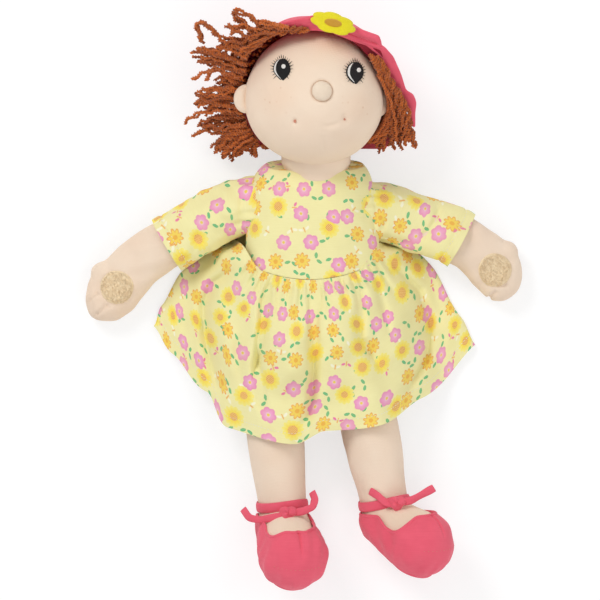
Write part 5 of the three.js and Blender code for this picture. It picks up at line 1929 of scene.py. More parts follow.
@dataclass
class Hat:
    """The felt-soft cloth hat: a scoop with a turned band, a floppy brim and a flower."""

    width: float = 129
    height: float = 128
    cloth: float = 1.6
    slope_up: float = 0.8
    slope_across: float = 0.12
    back: float = 12
    nape: float = 36
    flower_radius: float = 17
    heart_radius: float = 6.5
    flower_seen: tuple[float, float] = (333, 24)

    def rim(self, x: Array, y: Array) -> Array:
        """The height of the rim's plane over a place."""
        middle = BUILD.head
        return middle[2] + self.slope_up * (y - middle[1]) + self.slope_across * (x - middle[0]) - self.back

    def scoop(self, rows: int = 110, sides: int = 220) -> Shell:
        """The hat's shell, before its front is cut away.

        Args:
            rows: How many rings its dome has.
            sides: How many points a ring has.

        Returns:
            The surface.
        """
        radii = self.width / 2, self.height / 2, BUILD.head[2] + BUILD.press
        dome, tail = np.linspace(0.03, np.pi / 2, rows), np.linspace(0, -self.nape, 40)[1:]
        y = np.concatenate([radii[1] * np.cos(dome), tail])
        share = np.concatenate([np.sin(dome), np.ones(len(tail))])[:, None]
        turn = turns(sides)
        x, z = radii[0] * share * np.cos(turn), radii[2] * share * np.sin(turn)
        points = np.stack([x, np.repeat(y[:, None], sides, axis=1), z], axis=-1) + BUILD.head
        shell = grid(points, closed=True)
        shell.faces.append(tuple(range(sides))[::-1])
        return shell

    def crown(self) -> None:
        """The crown with its soft dents, and the rolled fold along its edge."""
        shell = self.scoop()
        points = shell.points
        out = unit(points - BUILD.head)
        points = points + out * (0.9 * lumps(points, 42, 61) * smooth(4, 30, points[:, 2]))[:, None]
        points[:, 2] = np.maximum(points[:, 2], 0)
        cut = Shell(points, shell.faces).clipped(self.rim(points[:, 0], points[:, 1]) - points[:, 2])
        dressed(cloth_piece("hat_crown_cloth", cut, WARDROBE["red"], self.cloth), "hat", ["hat_crown"], "red")
        edge = rim_loop(cut)
        front = edge[edge[:, 1] > BUILD.head[1] - self.nape + 2]
        turn = np.arctan2(front[:, 1] - BUILD.head[1], front[:, 0] - BUILD.head[0])
        front = evened(front[np.argsort((turn + np.pi / 2) % (2 * np.pi))], 160)
        hem = swept(front, 1.2, 1.5, 10, False, (-0.09, -0.62, 0.78))
        dressed(mesh_object("hat_edge_fold", hem, WARDROBE["red"]), "hat", [], "red")

    def _strip(
        self, name: str, edges: Sequence[Seen], nodes: list[str], roll: float = 1.2, drop: float = 0.0,
        lining: bool = False,
    ) -> None:
        """A band of brim between two lines seen in the picture.

        Args:
            name: The piece's name.
            edges: Its outer edge and its inner edge.
            nodes: The CAD nodes that it replaces.
            roll: How high its middle bulges, in mm.
            drop: How far it lies behind the rim's plane at its outer edge.
            lining: Whether it is the dark red sheet of painted shade under the brim, without stitches.
        """
        count, rows = 120, 14
        flat_edges = (np.column_stack([on_photo(line), np.zeros(len(line))]) for line in edges)
        outer, inner = (evened(line, count, rounds=5) for line in flat_edges)
        share = np.linspace(0, 1, rows)[:, None, None]
        flat = (inner * (1 - share) + outer * share).reshape(-1, 3)
        across = np.repeat(np.linspace(0, 1, rows), count)
        flat[:, 2] = self.rim(flat[:, 0], flat[:, 1]) - 0.4 + roll * np.sin(np.pi * across) - drop * across**2
        flat[:, 2] += 0.7 * lumps(flat, 16, 71) * across
        points = flat.reshape(rows, count, 3)
        piece = cloth_piece(name, grid(points), WARDROBE["lining" if lining else "red"], 2.2, 0)
        dressed(applied(modified(piece, "SUBSURF", levels=1, render_levels=1)), "hat", nodes, "red")
        if not lining:
            line = points[rows - 4] + (0, 0, 1.25)
            row = TRIMMINGS.row(name + "_stitches", line, "red", width=0.45, spacing=2.4)
            dressed(row, "hat", [], "red")

    def brim(self) -> None:
        """The turned band over the forehead, the fold of the crown, the floppy brim at the side and a sheet
        of painted shade under it.
        """
        over_brow = (
            ((258, 40), (267, 32), (278, 24.8), (294, 20.5), (311, 16.2), (326, 15), (334, 17)),
            ((259, 41), (268, 34.5), (280, 27.5), (296, 28), (312, 30), (326, 32), (334, 33.5)),
        )
        self._strip("hat_brim_right_band", over_brow, ["hat_brim_right"], 1.6)
        fold = (
            (
                (334, 21), (343, 26.5), (353, 28.8), (363, 31), (373, 34.6), (378.5, 36.5), (379.8, 41),
                (380.5, 46),
            ),
            (
                (334, 27), (343, 30.5), (351, 33.5), (360, 37), (368, 39.8), (374, 42), (377, 43.5),
                (380, 46.5),
            ),
        )
        self._strip("hat_crown_fold", fold, [], 1.8, 1.0)
        floppy = (
            (
                (334, 29), (342, 32), (351, 35), (362, 39.5), (373, 43.5), (384, 46.5), (393.5, 57),
                (401, 74), (406, 90), (413.5, 94.5), (416.5, 101.5), (415, 112), (414, 127),
            ),
            (
                (334, 33.5), (341, 36), (350, 39.8), (361, 43.6), (371, 46.6), (379.5, 49), (383, 61),
                (386.5, 74), (393, 84), (400, 95), (407, 110), (411, 119), (413, 126),
            ),
        )
        self._strip("hat_brim_left_band", floppy, ["hat_brim_left"])
        # A dark red sheet where the hat's underside lies in shade: painted shade.
        hollow = (
            ((352, 40.5), (362, 44.3), (372, 47.3), (381, 50), (383.5, 57)),
            ((356, 43), (363, 51), (370, 59), (376, 63), (382, 64)),
        )
        self._strip("hat_lining", hollow, [], -0.6, -0.9, True)

    def flower(self) -> None:
        """The felt flower and the embroidered round in its middle."""
        x, y = spot(self.flower_seen)
        high = self.rim(x, y) + 7.8

        def lay(px: Array, py: Array, lift: Array) -> Array:
            """Points on the flower's bent face."""
            z = high - 0.45 * (py - y) - 0.1 * (px - x) - ((px - x) ** 2) * 0.012 - ((py - y) ** 2) * 0.004
            return np.column_stack([px, py, z + lift])

        def petals(angle: Array) -> tuple[Array, Array]:
            """The flower's rim."""
            radius = self.flower_radius * (0.87 + 0.13 * np.abs(np.cos(3.5 * angle + 0.4)) ** 0.8)
            px, py = radius * np.cos(angle), radius * np.sin(angle) * 0.46
            return x + px + 0.25 * py, y + py - 0.28 * px

        def heart(angle: Array) -> tuple[Array, Array]:
            """The middle's rim."""
            px, py = self.heart_radius * np.cos(angle), self.heart_radius * np.sin(angle)
            return x + px, y + 0.3 + 0.46 * py - 0.15 * px

        flower = mesh_object("hat_flower_felt", patch(petals, lay, 2.0, 140), WARDROBE["felt"])
        dressed(flower, "hat", ["hat_flower"], "felt")
        middle = patch(heart, lambda px, py, lift: lay(px, py, lift + 1.9), 1.1, 60)
        middle = mesh_object("hat_flower_heart_thread", middle, WARDROBE["heart"])
        dressed(middle, "hat", ["hat_flower_heart"], "heart")


@dataclass(frozen=True)
class Lock:
    """Strands of hair that run together along a line seen in the picture.

    Attributes:
        line: The line, from the root to the tip.
        strands: How many strands there are.
        spread: How far apart they end, in mm.
        level: How high over the hat's rim they start, in mm.
    """

    line: Seen
    strands: int
    spread: float
    level: float = 3.0


@dataclass
class Hair:
    """Twisted brown yarn: tufts on both sides, a short fringe and the back of the head."""

    hat: Hat
    long_curl: Seen = (
        (247, 60), (235, 54), (222, 42), (210, 30), (200, 24), (197, 28), (200, 36), (200, 42), (203, 48),
    )
    radius: float = 1.25
    lift: float = 3.1
    crimp: float = 1.25
    pitch: float = 4.6

    def _placed(self, path: Array) -> Array:
        """Keeps a strand off the head and in front of the hat's rim.

        Args:
            path: The strand.

        Returns:
            The moved strand.
        """
        radii = np.array(BUILD.head_size) / 2 + self.radius * 0.7
        away = path - BUILD.head
        far = np.linalg.norm(away / radii, axis=1, keepdims=True)
        path = BUILD.head + np.where(far < 1, away / far, away)
        path[:, 2] = np.maximum(path[:, 2], self.hat.rim(path[:, 0], path[:, 1]) + self.lift)
        path[:, 2] = np.maximum(path[:, 2], self.radius + 0.5)
        return path

    def _tuft(
        self, name: str, strands: list[Array], seed: int, step: float = 1.0, place: bool = True
    ) -> None:
        """Spins strands into yarn and dresses them.

        Args:
            name: The CAD node that they replace.
            strands: The strands.
            seed: Which random shades they have.
            step: The yarn's grain in mm.
            place: Whether they are kept off the head and in front of the hat's rim.
        """
        random = np.random.default_rng(seed)
        points, edges, shades = [], [], []
        start = 0
        for strand in strands:
            count = len(strand)
            points.append(evened(self._placed(strand) if place else strand, count, rounds=1))
            edges += [(start + i, start + i + 1) for i in range(count - 1)]
            shades.append(np.full(count, random.uniform(0, 1)))
            start += count
        sizes = {"Radius": self.radius, "Pitch": self.pitch, "Step": step, "Lump": 0.17}
        shade = np.concatenate(shades)
        yarn = WARDROBE["yarn"]
        piece = TRIMMINGS.yarn.grown(name + "_yarn", np.vstack(points), edges, yarn, sizes, shade=shade)
        dressed(piece, "head", [name], "yarn")

    def _strands(self, locks: Sequence[Lock], seed: int, arch: float = 3.0) -> list[Array]:
        """Crimped strands along each lock.

        Args:
            locks: The locks.
            seed: Which random pattern it is.
            arch: How high the strands rise in their middle, in mm.

        Returns:
            The strands.
        """
        random = np.random.default_rng(seed)
        strands = []
        for lock in locks:
            for _ in range(lock.strands):
                seen = on_photo(lock.line)
                ease = np.linspace(0.45, 1, len(seen))[:, None]
                drift = random.normal(size=2) * lock.spread * 0.8
                seen = seen + (drift + random.normal(size=seen.shape) * lock.spread * 0.3) * ease
                rise = arch * random.uniform(0, 1.6) * np.sin(np.pi * np.linspace(0, 1, len(seen)))
                level = lock.level + random.uniform(0, 9)
                high = self.hat.rim(seen[:, 0], seen[:, 1]) + level + rise
                route = Route(np.column_stack([seen, high]))
                count = max(8, int(route.length / 1.1))
                path = np.array(route.at(np.linspace(0, random.uniform(0.86, 1), count)))
                strands.append(self._crimped(path, random))
        return strands

    def _crimped(self, path: Array, random: np.random.Generator) -> Array:
        """A strand with the small waves that unravelled yarn keeps.

        Args:
            path: The strand.
            random: Where its chance comes from.

        Returns:
            The waved strand.
        """
        reach = travel(path)
        across = np.cross(np.gradient(path, axis=0), (0, 0, 1))
        across /= lengths(across)[:, None] + 1e-6
        phase = random.uniform(0, 2 * np.pi)
        wave = 2 * np.pi * reach / random.uniform(7, 12) + phase + 0.9 * np.sin(reach * 0.3 + phase)
        size = self.crimp * random.uniform(0.5, 1.4) * smooth(0, 5, reach)
        return path + across * (size * np.sin(wave))[:, None] + np.outer(0.7 * size * np.cos(wave), (0, 0, 1))

    def right(self) -> None:
        """The big tuft on the doll's right, wild and full of loops."""
        wild = (
            Lock(((262, 31), (255, 21), (244, 14), (234, 12), (237, 19), (249, 27)), 3, 1.1, 4.6),
            Lock(((258, 33), (247, 27), (237, 26), (231, 33)), 4, 1.4, 4.6),
            Lock(((252, 41), (244, 36), (236, 31), (225, 25)), 2, 0.7, 6),
            Lock(((249, 49), (239, 44), (229, 42), (219, 45)), 8, 2.2),
            Lock(self.long_curl, 3, 1.1, 6),
            Lock(((246, 64), (233, 60), (218, 54), (205, 51), (193, 52)), 9, 2.8),
            Lock(((245, 72), (231, 68), (216, 62), (204, 60), (196, 58)), 9, 2.8),
            Lock(((244, 80), (231, 76), (218, 70), (206, 71), (191, 80)), 2, 0.7, 6),
            Lock(((243, 78), (229, 74), (215, 68), (209, 75), (208, 83)), 2, 0.7, 6),
            Lock(((241, 90), (229, 88), (215, 90), (198, 89)), 8, 2.4),
            Lock(((241, 98), (227, 96), (213, 98), (197, 94)), 8, 2.4),
            Lock(((241, 106), (225, 104), (209, 100), (196, 105)), 7, 2.4),
            Lock(((242, 113), (226, 112), (208, 110), (193, 117), (179, 126)), 2, 0.7, 6),
            Lock(((244, 119), (229, 118), (213, 120), (194, 128)), 7, 2.4),
            Lock(((246, 125), (231, 124), (215, 126), (205, 124), (211, 136)), 3, 0.9, 6),
            Lock(((248, 129), (236, 132), (222, 140), (214, 151)), 10, 2.8),
            Lock(((250, 133), (240, 140), (230, 148), (226, 157)), 11, 2.8),
            Lock(((254, 138), (246, 145), (240, 150), (238, 155)), 10, 2.6),
            Lock(((258, 143), (254, 149), (255, 155)), 6, 1.8),
            Lock(((262, 145), (264, 148), (267, 149)), 4, 1.2),
            Lock(((241, 84), (233, 82), (224, 80), (217, 82)), 6, 2.0, 2.0),
            Lock(((242, 111), (228, 108), (214, 107), (206, 111)), 6, 2.6),
            Lock(((246, 122), (232, 128), (220, 130), (211, 126)), 6, 2.6),
            Lock(((248, 127), (234, 136), (222, 146), (216, 147)), 6, 2.4),
            Lock(((250, 54), (238, 48), (228, 50), (219, 50)), 5, 2.2),
        )
        under = (
            ((262, 34), (252, 38), (243, 44)), ((253, 44), (242, 50), (230, 54)),
            ((247, 56), (236, 62), (224, 66)), ((244, 70), (233, 76), (222, 80)),
            ((242, 84), (231, 88), (218, 92)), ((241, 96), (230, 100), (216, 104)),
            ((242, 108), (230, 112), (218, 116)), ((245, 120), (234, 124), (222, 130)),
            ((250, 132), (240, 138), (228, 142)), ((256, 140), (248, 146), (240, 148)),
        )
        over_hat = (
            ((288, 27.5), (278, 25.5), (266, 23.5), (256, 22)), ((284, 30), (272, 28), (259, 30), (249, 34)),
            ((276, 33), (264, 34), (253, 39), (244, 45)), ((268, 37), (258, 41), (250, 46), (240, 50)),
            ((258, 44), (250, 50), (240, 56)),
        )
        strands = self._strands(wild, 101)
        strands += self._strands([Lock(line, 8, 2.6, 0.5) for line in under], 102, 1.0)
        strands += self._strands([Lock(line, 6, 1.3, 4.6) for line in over_hat], 103, 2.0)
        self._tuft("hair_right", strands, 104)

    def left(self) -> None:
        """The tuft on the doll's left, which hangs down between the ear and the hat."""
        locks = (
            Lock(
                ((383, 66), (390, 80), (397, 92), (404, 106), (409, 124), (411, 138), (415, 149)), 6, 1.4, 1.5
            ),
            Lock(((381, 66), (389, 84), (396, 98), (402, 114), (405, 130), (406, 144)), 9, 2.2, 1.5),
            Lock(((380, 70), (387, 86), (392, 102), (397, 118), (399, 134), (400, 145)), 9, 2.2, 1.5),
            Lock(((378, 78), (386, 94), (390, 108), (392, 122), (393, 138), (393.7, 150)), 9, 2.2),
            Lock(((380, 90), (387, 104), (388, 116), (386, 130), (383, 142), (381.5, 152.5)), 8, 1.8),
            Lock(
                ((379, 62), (382, 70), (385, 82), (388, 94), (391, 108), (390, 124), (386, 136)), 9, 1.8, 0.5
            ),
            Lock(((388, 104), (390, 112), (388, 124), (382, 134), (376, 142)), 8, 1.8),
            Lock(((386, 114), (384, 124), (378, 134), (372, 142)), 8, 1.6),
            Lock(((371, 56), (376, 64), (381, 76), (385, 90), (387, 104), (388, 116)), 8, 1.5, 0.2),
            Lock(((375, 58), (382, 70), (387, 86), (391, 102), (395, 118), (397, 136)), 8, 1.7, 0.4),
            Lock(((385, 112), (382, 122), (375, 133), (367, 143)), 8, 1.7, 1.5),
            Lock(((388, 118), (388, 128), (381, 138), (375, 145)), 7, 1.7, 1.5),
        )
        self._tuft("hair_left", self._strands(locks, 111, 2.0), 113)

    def fringe(self) -> None:
        """The short curls that peep out under the hat's band."""
        curls = (
            ((309, 30), (303, 31), (297, 32)), ((302, 28.5), (296, 30.5), (289, 32.5)),
            ((295, 27.5), (288, 30), (280, 34)), ((287, 27), (280, 31), (272, 36)),
            ((279, 28), (272, 33), (264, 40)), ((271, 31), (263, 38), (257, 46)),
        )
        strands = self._strands([Lock(line, 5, 1.1, 0.4) for line in curls], 121, 1.5)
        self._tuft("hair_fringe", strands, 122)

    def rear(self) -> None:
        """Rows of yarn laid round the back of the head, from ear to ear."""
        radii = np.array(BUILD.head_size) / 2 + 3.2
        strands = []
        random = np.random.default_rng(131)
        for y in np.arange(-36, 46, 2.3):
            t = np.linspace(0, 1, 90)
            ring = math.sqrt(1 - (y / radii[1]) ** 2)
            turn = np.pi + np.pi * t
            x, z = radii[0] * ring * np.cos(turn), radii[2] * ring * np.sin(turn)
            path = np.column_stack([x, np.full(90, y) + 1.2 * np.sin(9 * t + y), z])
            path *= (1 + 0.012 * np.sin(23 * t + random.uniform(0, 6)))[:, None]
            path += BUILD.head
            front = self.hat.rim(path[:, 0], path[:, 1]) + 3
            behind = path[path[:, 2] < front]
            if len(behind) > 8:
                behind[:, 2] = np.maximum(behind[:, 2], 3.4)
                strands.append(behind)
        self._tuft("hair_back", strands, 132, 1.6, False)


@dataclass
class Dress:
    """The flowered dress: a bodice, two sleeves and a gathered skirt, closed at the back."""

    waist_radius: float = 100
    waist_drop: float = 22
    skirt_length: float = 124
    drape: float = 0.85
    hem_rise: Seen = (
        (0, 45), (0.09, 37), (0.22, 24), (0.3, 4), (0.46, 0), (0.54, 10), (0.68, 8), (0.8, 17), (1, 30),
    )
    side_right: Seen = ((0, 35), (0.2, 40), (0.5, 45), (0.8, 43), (1, 41))
    side_left: Seen = ((0, 35), (0.15, 41), (0.4, 43.5), (0.75, 41.5), (1, 39.8))
    neckline: Place = (28, 18, 40)
    neckline_y: float = 72.5
    armhole: float = 17.5
    sleeve_width: float = 43
    sleeve_depth: float = 35.5
    sleeve_length: float = 59
    loft: float = 4.5
    puff: float = 13
    corner_rise: float = 16
    fold_depth: float = 1.35
    shoulder_square: float = 0.42
    shoulder_rise: float = 3
    parting: Seen = (
        (315, 277), (314.5, 300), (313.5, 328), (314, 366), (311.5, 402), (305.5, 424), (305, 436),
    )
    gathers: Sequence[float] = (
        249, 257, 264.7, 273, 282.6, 292, 301.6, 308, 314.2, 319, 324.7, 330, 340, 350, 356, 362.6, 369,
        375, 381.6,
    )
    right_fold: Seen = ((268, 276), (263, 324), (257.5, 366), (259.5, 400), (268, 419))
    right_thigh: Seen = ((242.6, 263), (211, 284), (203, 305), (205, 335), (212.5, 370.5), (221, 400))
    left_thigh: Seen = ((381.5, 252.6), (419.4, 290.5), (431, 324), (427, 356), (414, 378), (400, 404))
    left_fold: Seen = ((360.5, 280), (360.5, 338), (374, 360), (387, 376))

    def sleeve_creases(self, side: Side) -> tuple[Crease, ...]:
        """The folds on the front of a sleeve.

        Args:
            side: Which sleeve.

        Returns:
            The folds.
        """
        if side is Side.RIGHT:
            return (
                Crease(((243, 240), (226, 246), (211, 252), (201, 264)), -4.5, 4.5, 0.3),
                Crease(((241, 187), (241, 211), (238, 232)), -1.3, 1.6, 0.2),
                Crease(((199, 228), (195, 244), (190, 262)), -1.2, 2.5, 0.4),
                Crease(((233, 226), (226, 238), (214, 246)), -1.5, 2.2, 0.4),
                Crease(((232, 196), (205, 208), (182, 222)), 1.4, 9, 0.5),
            )
        return (
            Crease(((377, 237), (390, 241), (404, 243), (416, 242)), -4.0, 3.2, 0.3),
            Crease(((437, 199), (439, 210), (435, 222), (427, 233), (416, 242)), -2.4, 2.2, 0.25),
            Crease(((432, 203), (430, 214), (424, 226)), 1.4, 5, 0.4),
            Crease(((388, 217), (384, 225), (379.5, 234)), -2.0, 2.0, 0.4),
            Crease(((372, 190), (376, 208), (375, 232)), -1.3, 1.6, 0.2),
            Crease(((392, 196), (410, 203), (428, 208)), 1.3, 8, 0.5),
        )

    @property
    def waist(self) -> Array:
        """The middle of the circle that the waist seam follows."""
        return np.array([0, self.waist_radius - self.waist_drop])

    def bodice(self) -> None:
        """The bodice, with its neckline, armholes and the slit at the back, and the strip that closes it."""
        allowance = BUILD.gap + BUILD.cloth
        rows, _, _ = BUILD.torso(allowance).rows(210, 260)
        order = np.roll(np.arange(260), 65)
        rows = rows[:, np.append(order, order[0])]
        slope = (rows[:, :, 1] - BUILD.shoulder_y + BUILD.shoulder_dome) / (BUILD.shoulder_dome + allowance)
        slope = np.clip(slope, 0, 0.999)
        rows[:, :, 0] *= np.sqrt(1 - slope**2) ** (self.shoulder_square - 1)
        rows[:, :, 1] += self.shoulder_rise * slope**2
        around = travel(rows[100])
        shell = grid(rows, flip=True)
        points = shell.points
        shell.values["u"] = np.tile(around - around[-1] / 2, len(rows))
        front = smooth(30, 52, points[:, 2])
        creases = (
            Crease(((254, 176), (251, 205), (249, 232)), -1.3, 3, 0.3),
            Crease(((245, 190), (247, 215), (246, 240)), 0.8, 4, 0.3),
            Crease(((366, 186), (366, 215), (372, 240)), -1.1, 3, 0.3),
            Crease(((290, 215), (300, 245), (304, 268)), 0.5, 9, 0.4),
            Crease(((335, 190), (345, 220), (343, 262)), 0.5, 9, 0.4),
            Crease(((268, 240), (272, 256), (274, 270)), -0.5, 3, 0.4),
        )
        push = creased(points, creases) * front + 0.45 * lumps(points, 26, 141) * front
        from_waist = self.waist_radius - lengths(points[:, :2] - self.waist)
        ripple = np.cos(points[:, 0] * 0.9 + 2 * np.sin(points[:, 0] * 0.23))
        push += 0.3 * ripple * hump(from_waist, 5) * front
        points[:, 2] += push
        pressed = BUILD.clear_of_chin(points, 1.0)
        points[:, 1] = pressed[:, 1]
        points[:, 2] = np.maximum(points[:, 2], 0)
        steps = lengths(np.diff(points.reshape(rows.shape), axis=0))
        reach = np.concatenate([np.zeros((1, steps.shape[1])), np.cumsum(steps, axis=0)])
        shell.values["v"] = (reach - reach[100] + rows[100, :, 1]).ravel()
        away = (points - (BUILD.neck_x - 1, self.neckline_y, BUILD.neck_z)) / np.array(self.neckline)
        keep = np.minimum(from_waist, (lengths(away) - 1) * 18)
        for side in Side:
            shoulder = np.array(ARM_ROUTE[side][0], float)
            gap = lengths(points[:, 1:] - shoulder[1:]) - self.armhole
            outside = (points[:, 0] * side.sign) > 24
            keep = np.where(outside, np.minimum(keep, gap), keep)
        slit = np.abs(points[:, 0] - 15.4) - 0.4
        keep = np.where(points[:, 2] < 20, np.minimum(keep, slit), keep)
        piece = cloth_piece("bodice_cloth", shell.clipped(keep), WARDROBE["dress"], BUILD.cloth)
        dressed(piece, "body", ["bodice"], "dress")
        tape = ball((6.6, 25.5, 0.7), 40, 20, (15, 14, 2.0))
        strip = mesh_object("closure_strip_tape", tape, WARDROBE["tape"])
        dressed(strip, "body", ["closure_strip"], "white")

    def sleeve(self, side: Side) -> None:
        """One short sleeve, gathered at the armhole and stitched at its hem.

        Args:
            side: Which sleeve.
        """
        knots, half = ARM_ROUTE[side], BUILD.torso_width / 2
        arm = Route(knots)
        share = self.sleeve_length / arm.length
        hem_at, hem_way = arm.at(share), arm.way(share)
        route = Route([(side.sign * half / 2, knots[0][1] + 3, BUILD.torso_z), *knots[:4]])
        sizes = self.sleeve_width / 2, self.sleeve_depth / 2
        tube = Tube(route, *(lambda t, size=size: np.full(np.shape(t), size) for size in sizes))
        rows, angle, along = (part[:, np.arange(171) % 170] for part in tube.rows(200, 170))
        out = rows - rows[:, :-1].mean(axis=1)[:, None, :]
        out /= lengths(out)[:, :, None] + 1e-9
        flat = rows.reshape(-1, 3)
        seam = (np.abs(flat[:, 0]) - half + 4).reshape(along.shape)
        pucker = np.cos(angle * 13 + 2.2 * np.sin(angle * 3)) * np.exp(-np.clip(seam, 0, None) / 9)
        folds = 0.9 * np.sin(angle * 5 + along * 0.05 + 1.3 * side.sign)
        folds += 0.8 * np.sin(angle * 3 - along * 0.09)
        to_hem = ((hem_at - flat) @ hem_way).reshape(along.shape)
        push = 0.9 * (pucker + folds * smooth(2, 16, seam)) - 0.7 * hump(to_hem - 8, 1.1)
        push += 0.25 * smooth(7, 6, to_hem) + 0.5 * lumps(flat, 14, 151 + side.sign).reshape(along.shape)
        rows = rows + out * push[:, :, None]
        folds = creased(flat, self.sleeve_creases(side)).reshape(along.shape)
        rows[:, :, 2] += folds * smooth(0.1, 0.7, out[:, :, 2])
        rows[:, :, 2] = np.maximum(rows[:, :, 2], 0)
        shell = grid(rows, flip=True)
        around = np.column_stack([angle[:, :-1], np.full(len(angle), 2 * np.pi)])
        shell.values = {"u": around.ravel() * 19 + side.sign * 37, "v": along.ravel() + 5}
        piece = cloth_piece(
            f"sleeve_{side}_cloth", shell.clipped(self._outside_bodice(shell.points, side, hem_at, hem_way)),
            WARDROBE["dress"], BUILD.cloth,
        )
        index = np.abs(to_hem - 7.2).argmin(axis=0)[:-1], np.arange(170)
        path = rows[index] + out[index] * 0.15
        path[:, 2] = np.maximum(path[:, 2], 0.3)
        row = TRIMMINGS.row(f"sleeve_{side}_stitches", evened(path, 160, True), "tape", closed=True)
        end = tuple(np.array(arm.at(0.45)) * MM)
        for made, nodes in ((piece, [f"sleeve_{side}"]), (row, [])):
            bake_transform(made)
            stands_for(made, nodes, "dress")

    def _outside_bodice(self, points: Array, side: Side, hem_at: Array, hem_way: Array) -> Array:
        """How far a sleeve's points lie between the bodice's side and the hem.

        Args:
            points: The points.
            side: Which sleeve.
            hem_at: The middle of the hem.
            hem_way: The arm's way there.

        Returns:
            A value for each point, above zero where the sleeve is kept.
        """
        half = BUILD.torso_width / 2
        share = np.clip((points[:, 1] - BUILD.crotch_y) / (BUILD.shoulder_y - BUILD.crotch_y), 0, 1)
        wide = BUILD.torso(0).half_width(share) + BUILD.gap + BUILD.cloth
        across = (points[:, 0] - BUILD.hip_middle * (1 - share)) / wide
        outside = np.sqrt(across**2 + ((points[:, 2] - BUILD.torso_z) / 29.45) ** 2) - 1
        high = smooth(BUILD.shoulder_y - 2, BUILD.shoulder_y - 14, points[:, 1])
        beside = (outside * 40 + 0.8 + 7 * smooth(44, 51, points[:, 1])) * high
        beside += (1 - high) * (np.abs(points[:, 0]) - 38)
        inner = points[:, 0] * side.sign - half + 12
        return np.minimum(np.minimum((hem_at - points) @ hem_way, beside), inner)

    def place(self, u: Array, v: Array, front: bool = True) -> Array:
        """Where the skirt's cloth lies, seen from above.

        Args:
            u: The share round the waist, from right to left.
            v: The share from the waist to the hem.
            front: Whether it is the front panel or the back one.

        Returns:
            The x and y of each point.
        """
        span = np.where(u < 0.5, through(self.side_right, v), through(self.side_left, v))
        angle = np.radians((2 * u - 1) * span)
        length = self.skirt_length - through(self.hem_rise, u) - BUILD.gap
        reach = self.waist_radius + BUILD.gap + v * length
        edge = np.minimum(u, 1 - u)
        wing = self.puff * smooth(0.2, 0.04, edge) * smooth(0.62, 0.12, v)
        if not front:
            wing += self.corner_rise * hump(edge - 0.09, 0.06) * smooth(0.4, 0.02, v)
        return np.stack([reach * np.sin(angle), self.waist[1] - reach * np.cos(angle) + wing], axis=-1)

    def under(self, x: Array, y: Array) -> Array:
        """The height of the body and legs under the skirt, with the cloth's slope beside them.

        Args:
            x: Their places across, in mm.
            y: Their places up.

        Returns:
            The height at each place.
        """

        def hold(height: Array, wide: float, deep: float, offset: Array) -> Array:
            """A round back and the straight slopes of cloth that leave it."""
            rise = math.hypot(deep, self.drape * wide)
            leaves = wide**2 * self.drape / rise
            curved = height + deep * np.sqrt(np.clip(1 - (offset / wide) ** 2, 0, 1))
            return np.where(np.abs(offset) < leaves, curved, height + rise - self.drape * np.abs(offset))

        t = (y - BUILD.crotch_y) / (BUILD.shoulder_y - BUILD.crotch_y)
        sag = 0.2 * np.maximum(0, BUILD.crotch_y + BUILD.crotch_dome - y)
        offset = x - BUILD.hip_middle * (1 - t)
        top = hold(BUILD.torso_z - sag, BUILD.torso_width / 2, BUILD.torso_depth / 2, offset)
        for side in Side:
            route = Route(LEG_ROUTE[side])
            start, following = route.at_knot(0), route.at_knot(0.34)
            middle = start[0] + (following[0] - start[0]) * (y - start[1]) / (following[1] - start[1])
            leg = hold(np.full(np.shape(x), start[2] - 1.0), 21.5, 21.5, x - middle)
            top = (top + leg + np.sqrt((top - leg) ** 2 + 25)) / 2
        return top

    @staticmethod
    def solid(x: Array, y: Array) -> Array:
        """The height of the body's and the legs' own skin, 0 beside them.

        Args:
            x: Their places across, in mm.
            y: Their places up.

        Returns:
            The height at each place.
        """
        place = np.clip((y - BUILD.crotch_y) / BUILD.crotch_dome, 0, 1)
        size = np.sqrt(1 - (1 - place) ** 2) + 1e-6
        across = (x - BUILD.hip_middle / 2) / (BUILD.torso_width / 2 * size)
        deep = BUILD.torso_depth / 2 * size * np.sqrt(np.clip(1 - across**2, 0, 1))
        top = np.where(np.abs(across) < 1, BUILD.torso_z + deep, 0)
        for side in Side:
            line = Route(LEG_ROUTE[side]).line[::-1]
            middle, height = (np.interp(y, line[:, 1], line[:, k]) for k in (0, 2))
            drop = np.clip(1 - ((x - middle) ** 2 + np.maximum(y - line[-1, 1], 0) ** 2) / 21.9**2, 0, 1)
            leg = np.where(drop > 0, height + 21.9 * np.sqrt(drop), 0)
            top = np.maximum(top, leg)
        return top

    def parted(self, v: Array) -> Array:
        """The share round the waist where the skirt's halves meet, in the deep middle fold.

        Args:
            v: The share from the waist to the hem.

        Returns:
            The share round the waist.
        """
        line = on_photo(self.parting)[::-1]
        reach = self.waist_radius + v * self.skirt_length
        x = np.interp(self.waist[1] - reach, line[:, 1], line[:, 0])
        span = np.where(x < 0, through(self.side_right, v), through(self.side_left, v))
        return 0.5 + np.degrees(np.arcsin(x / reach)) / (2 * span)

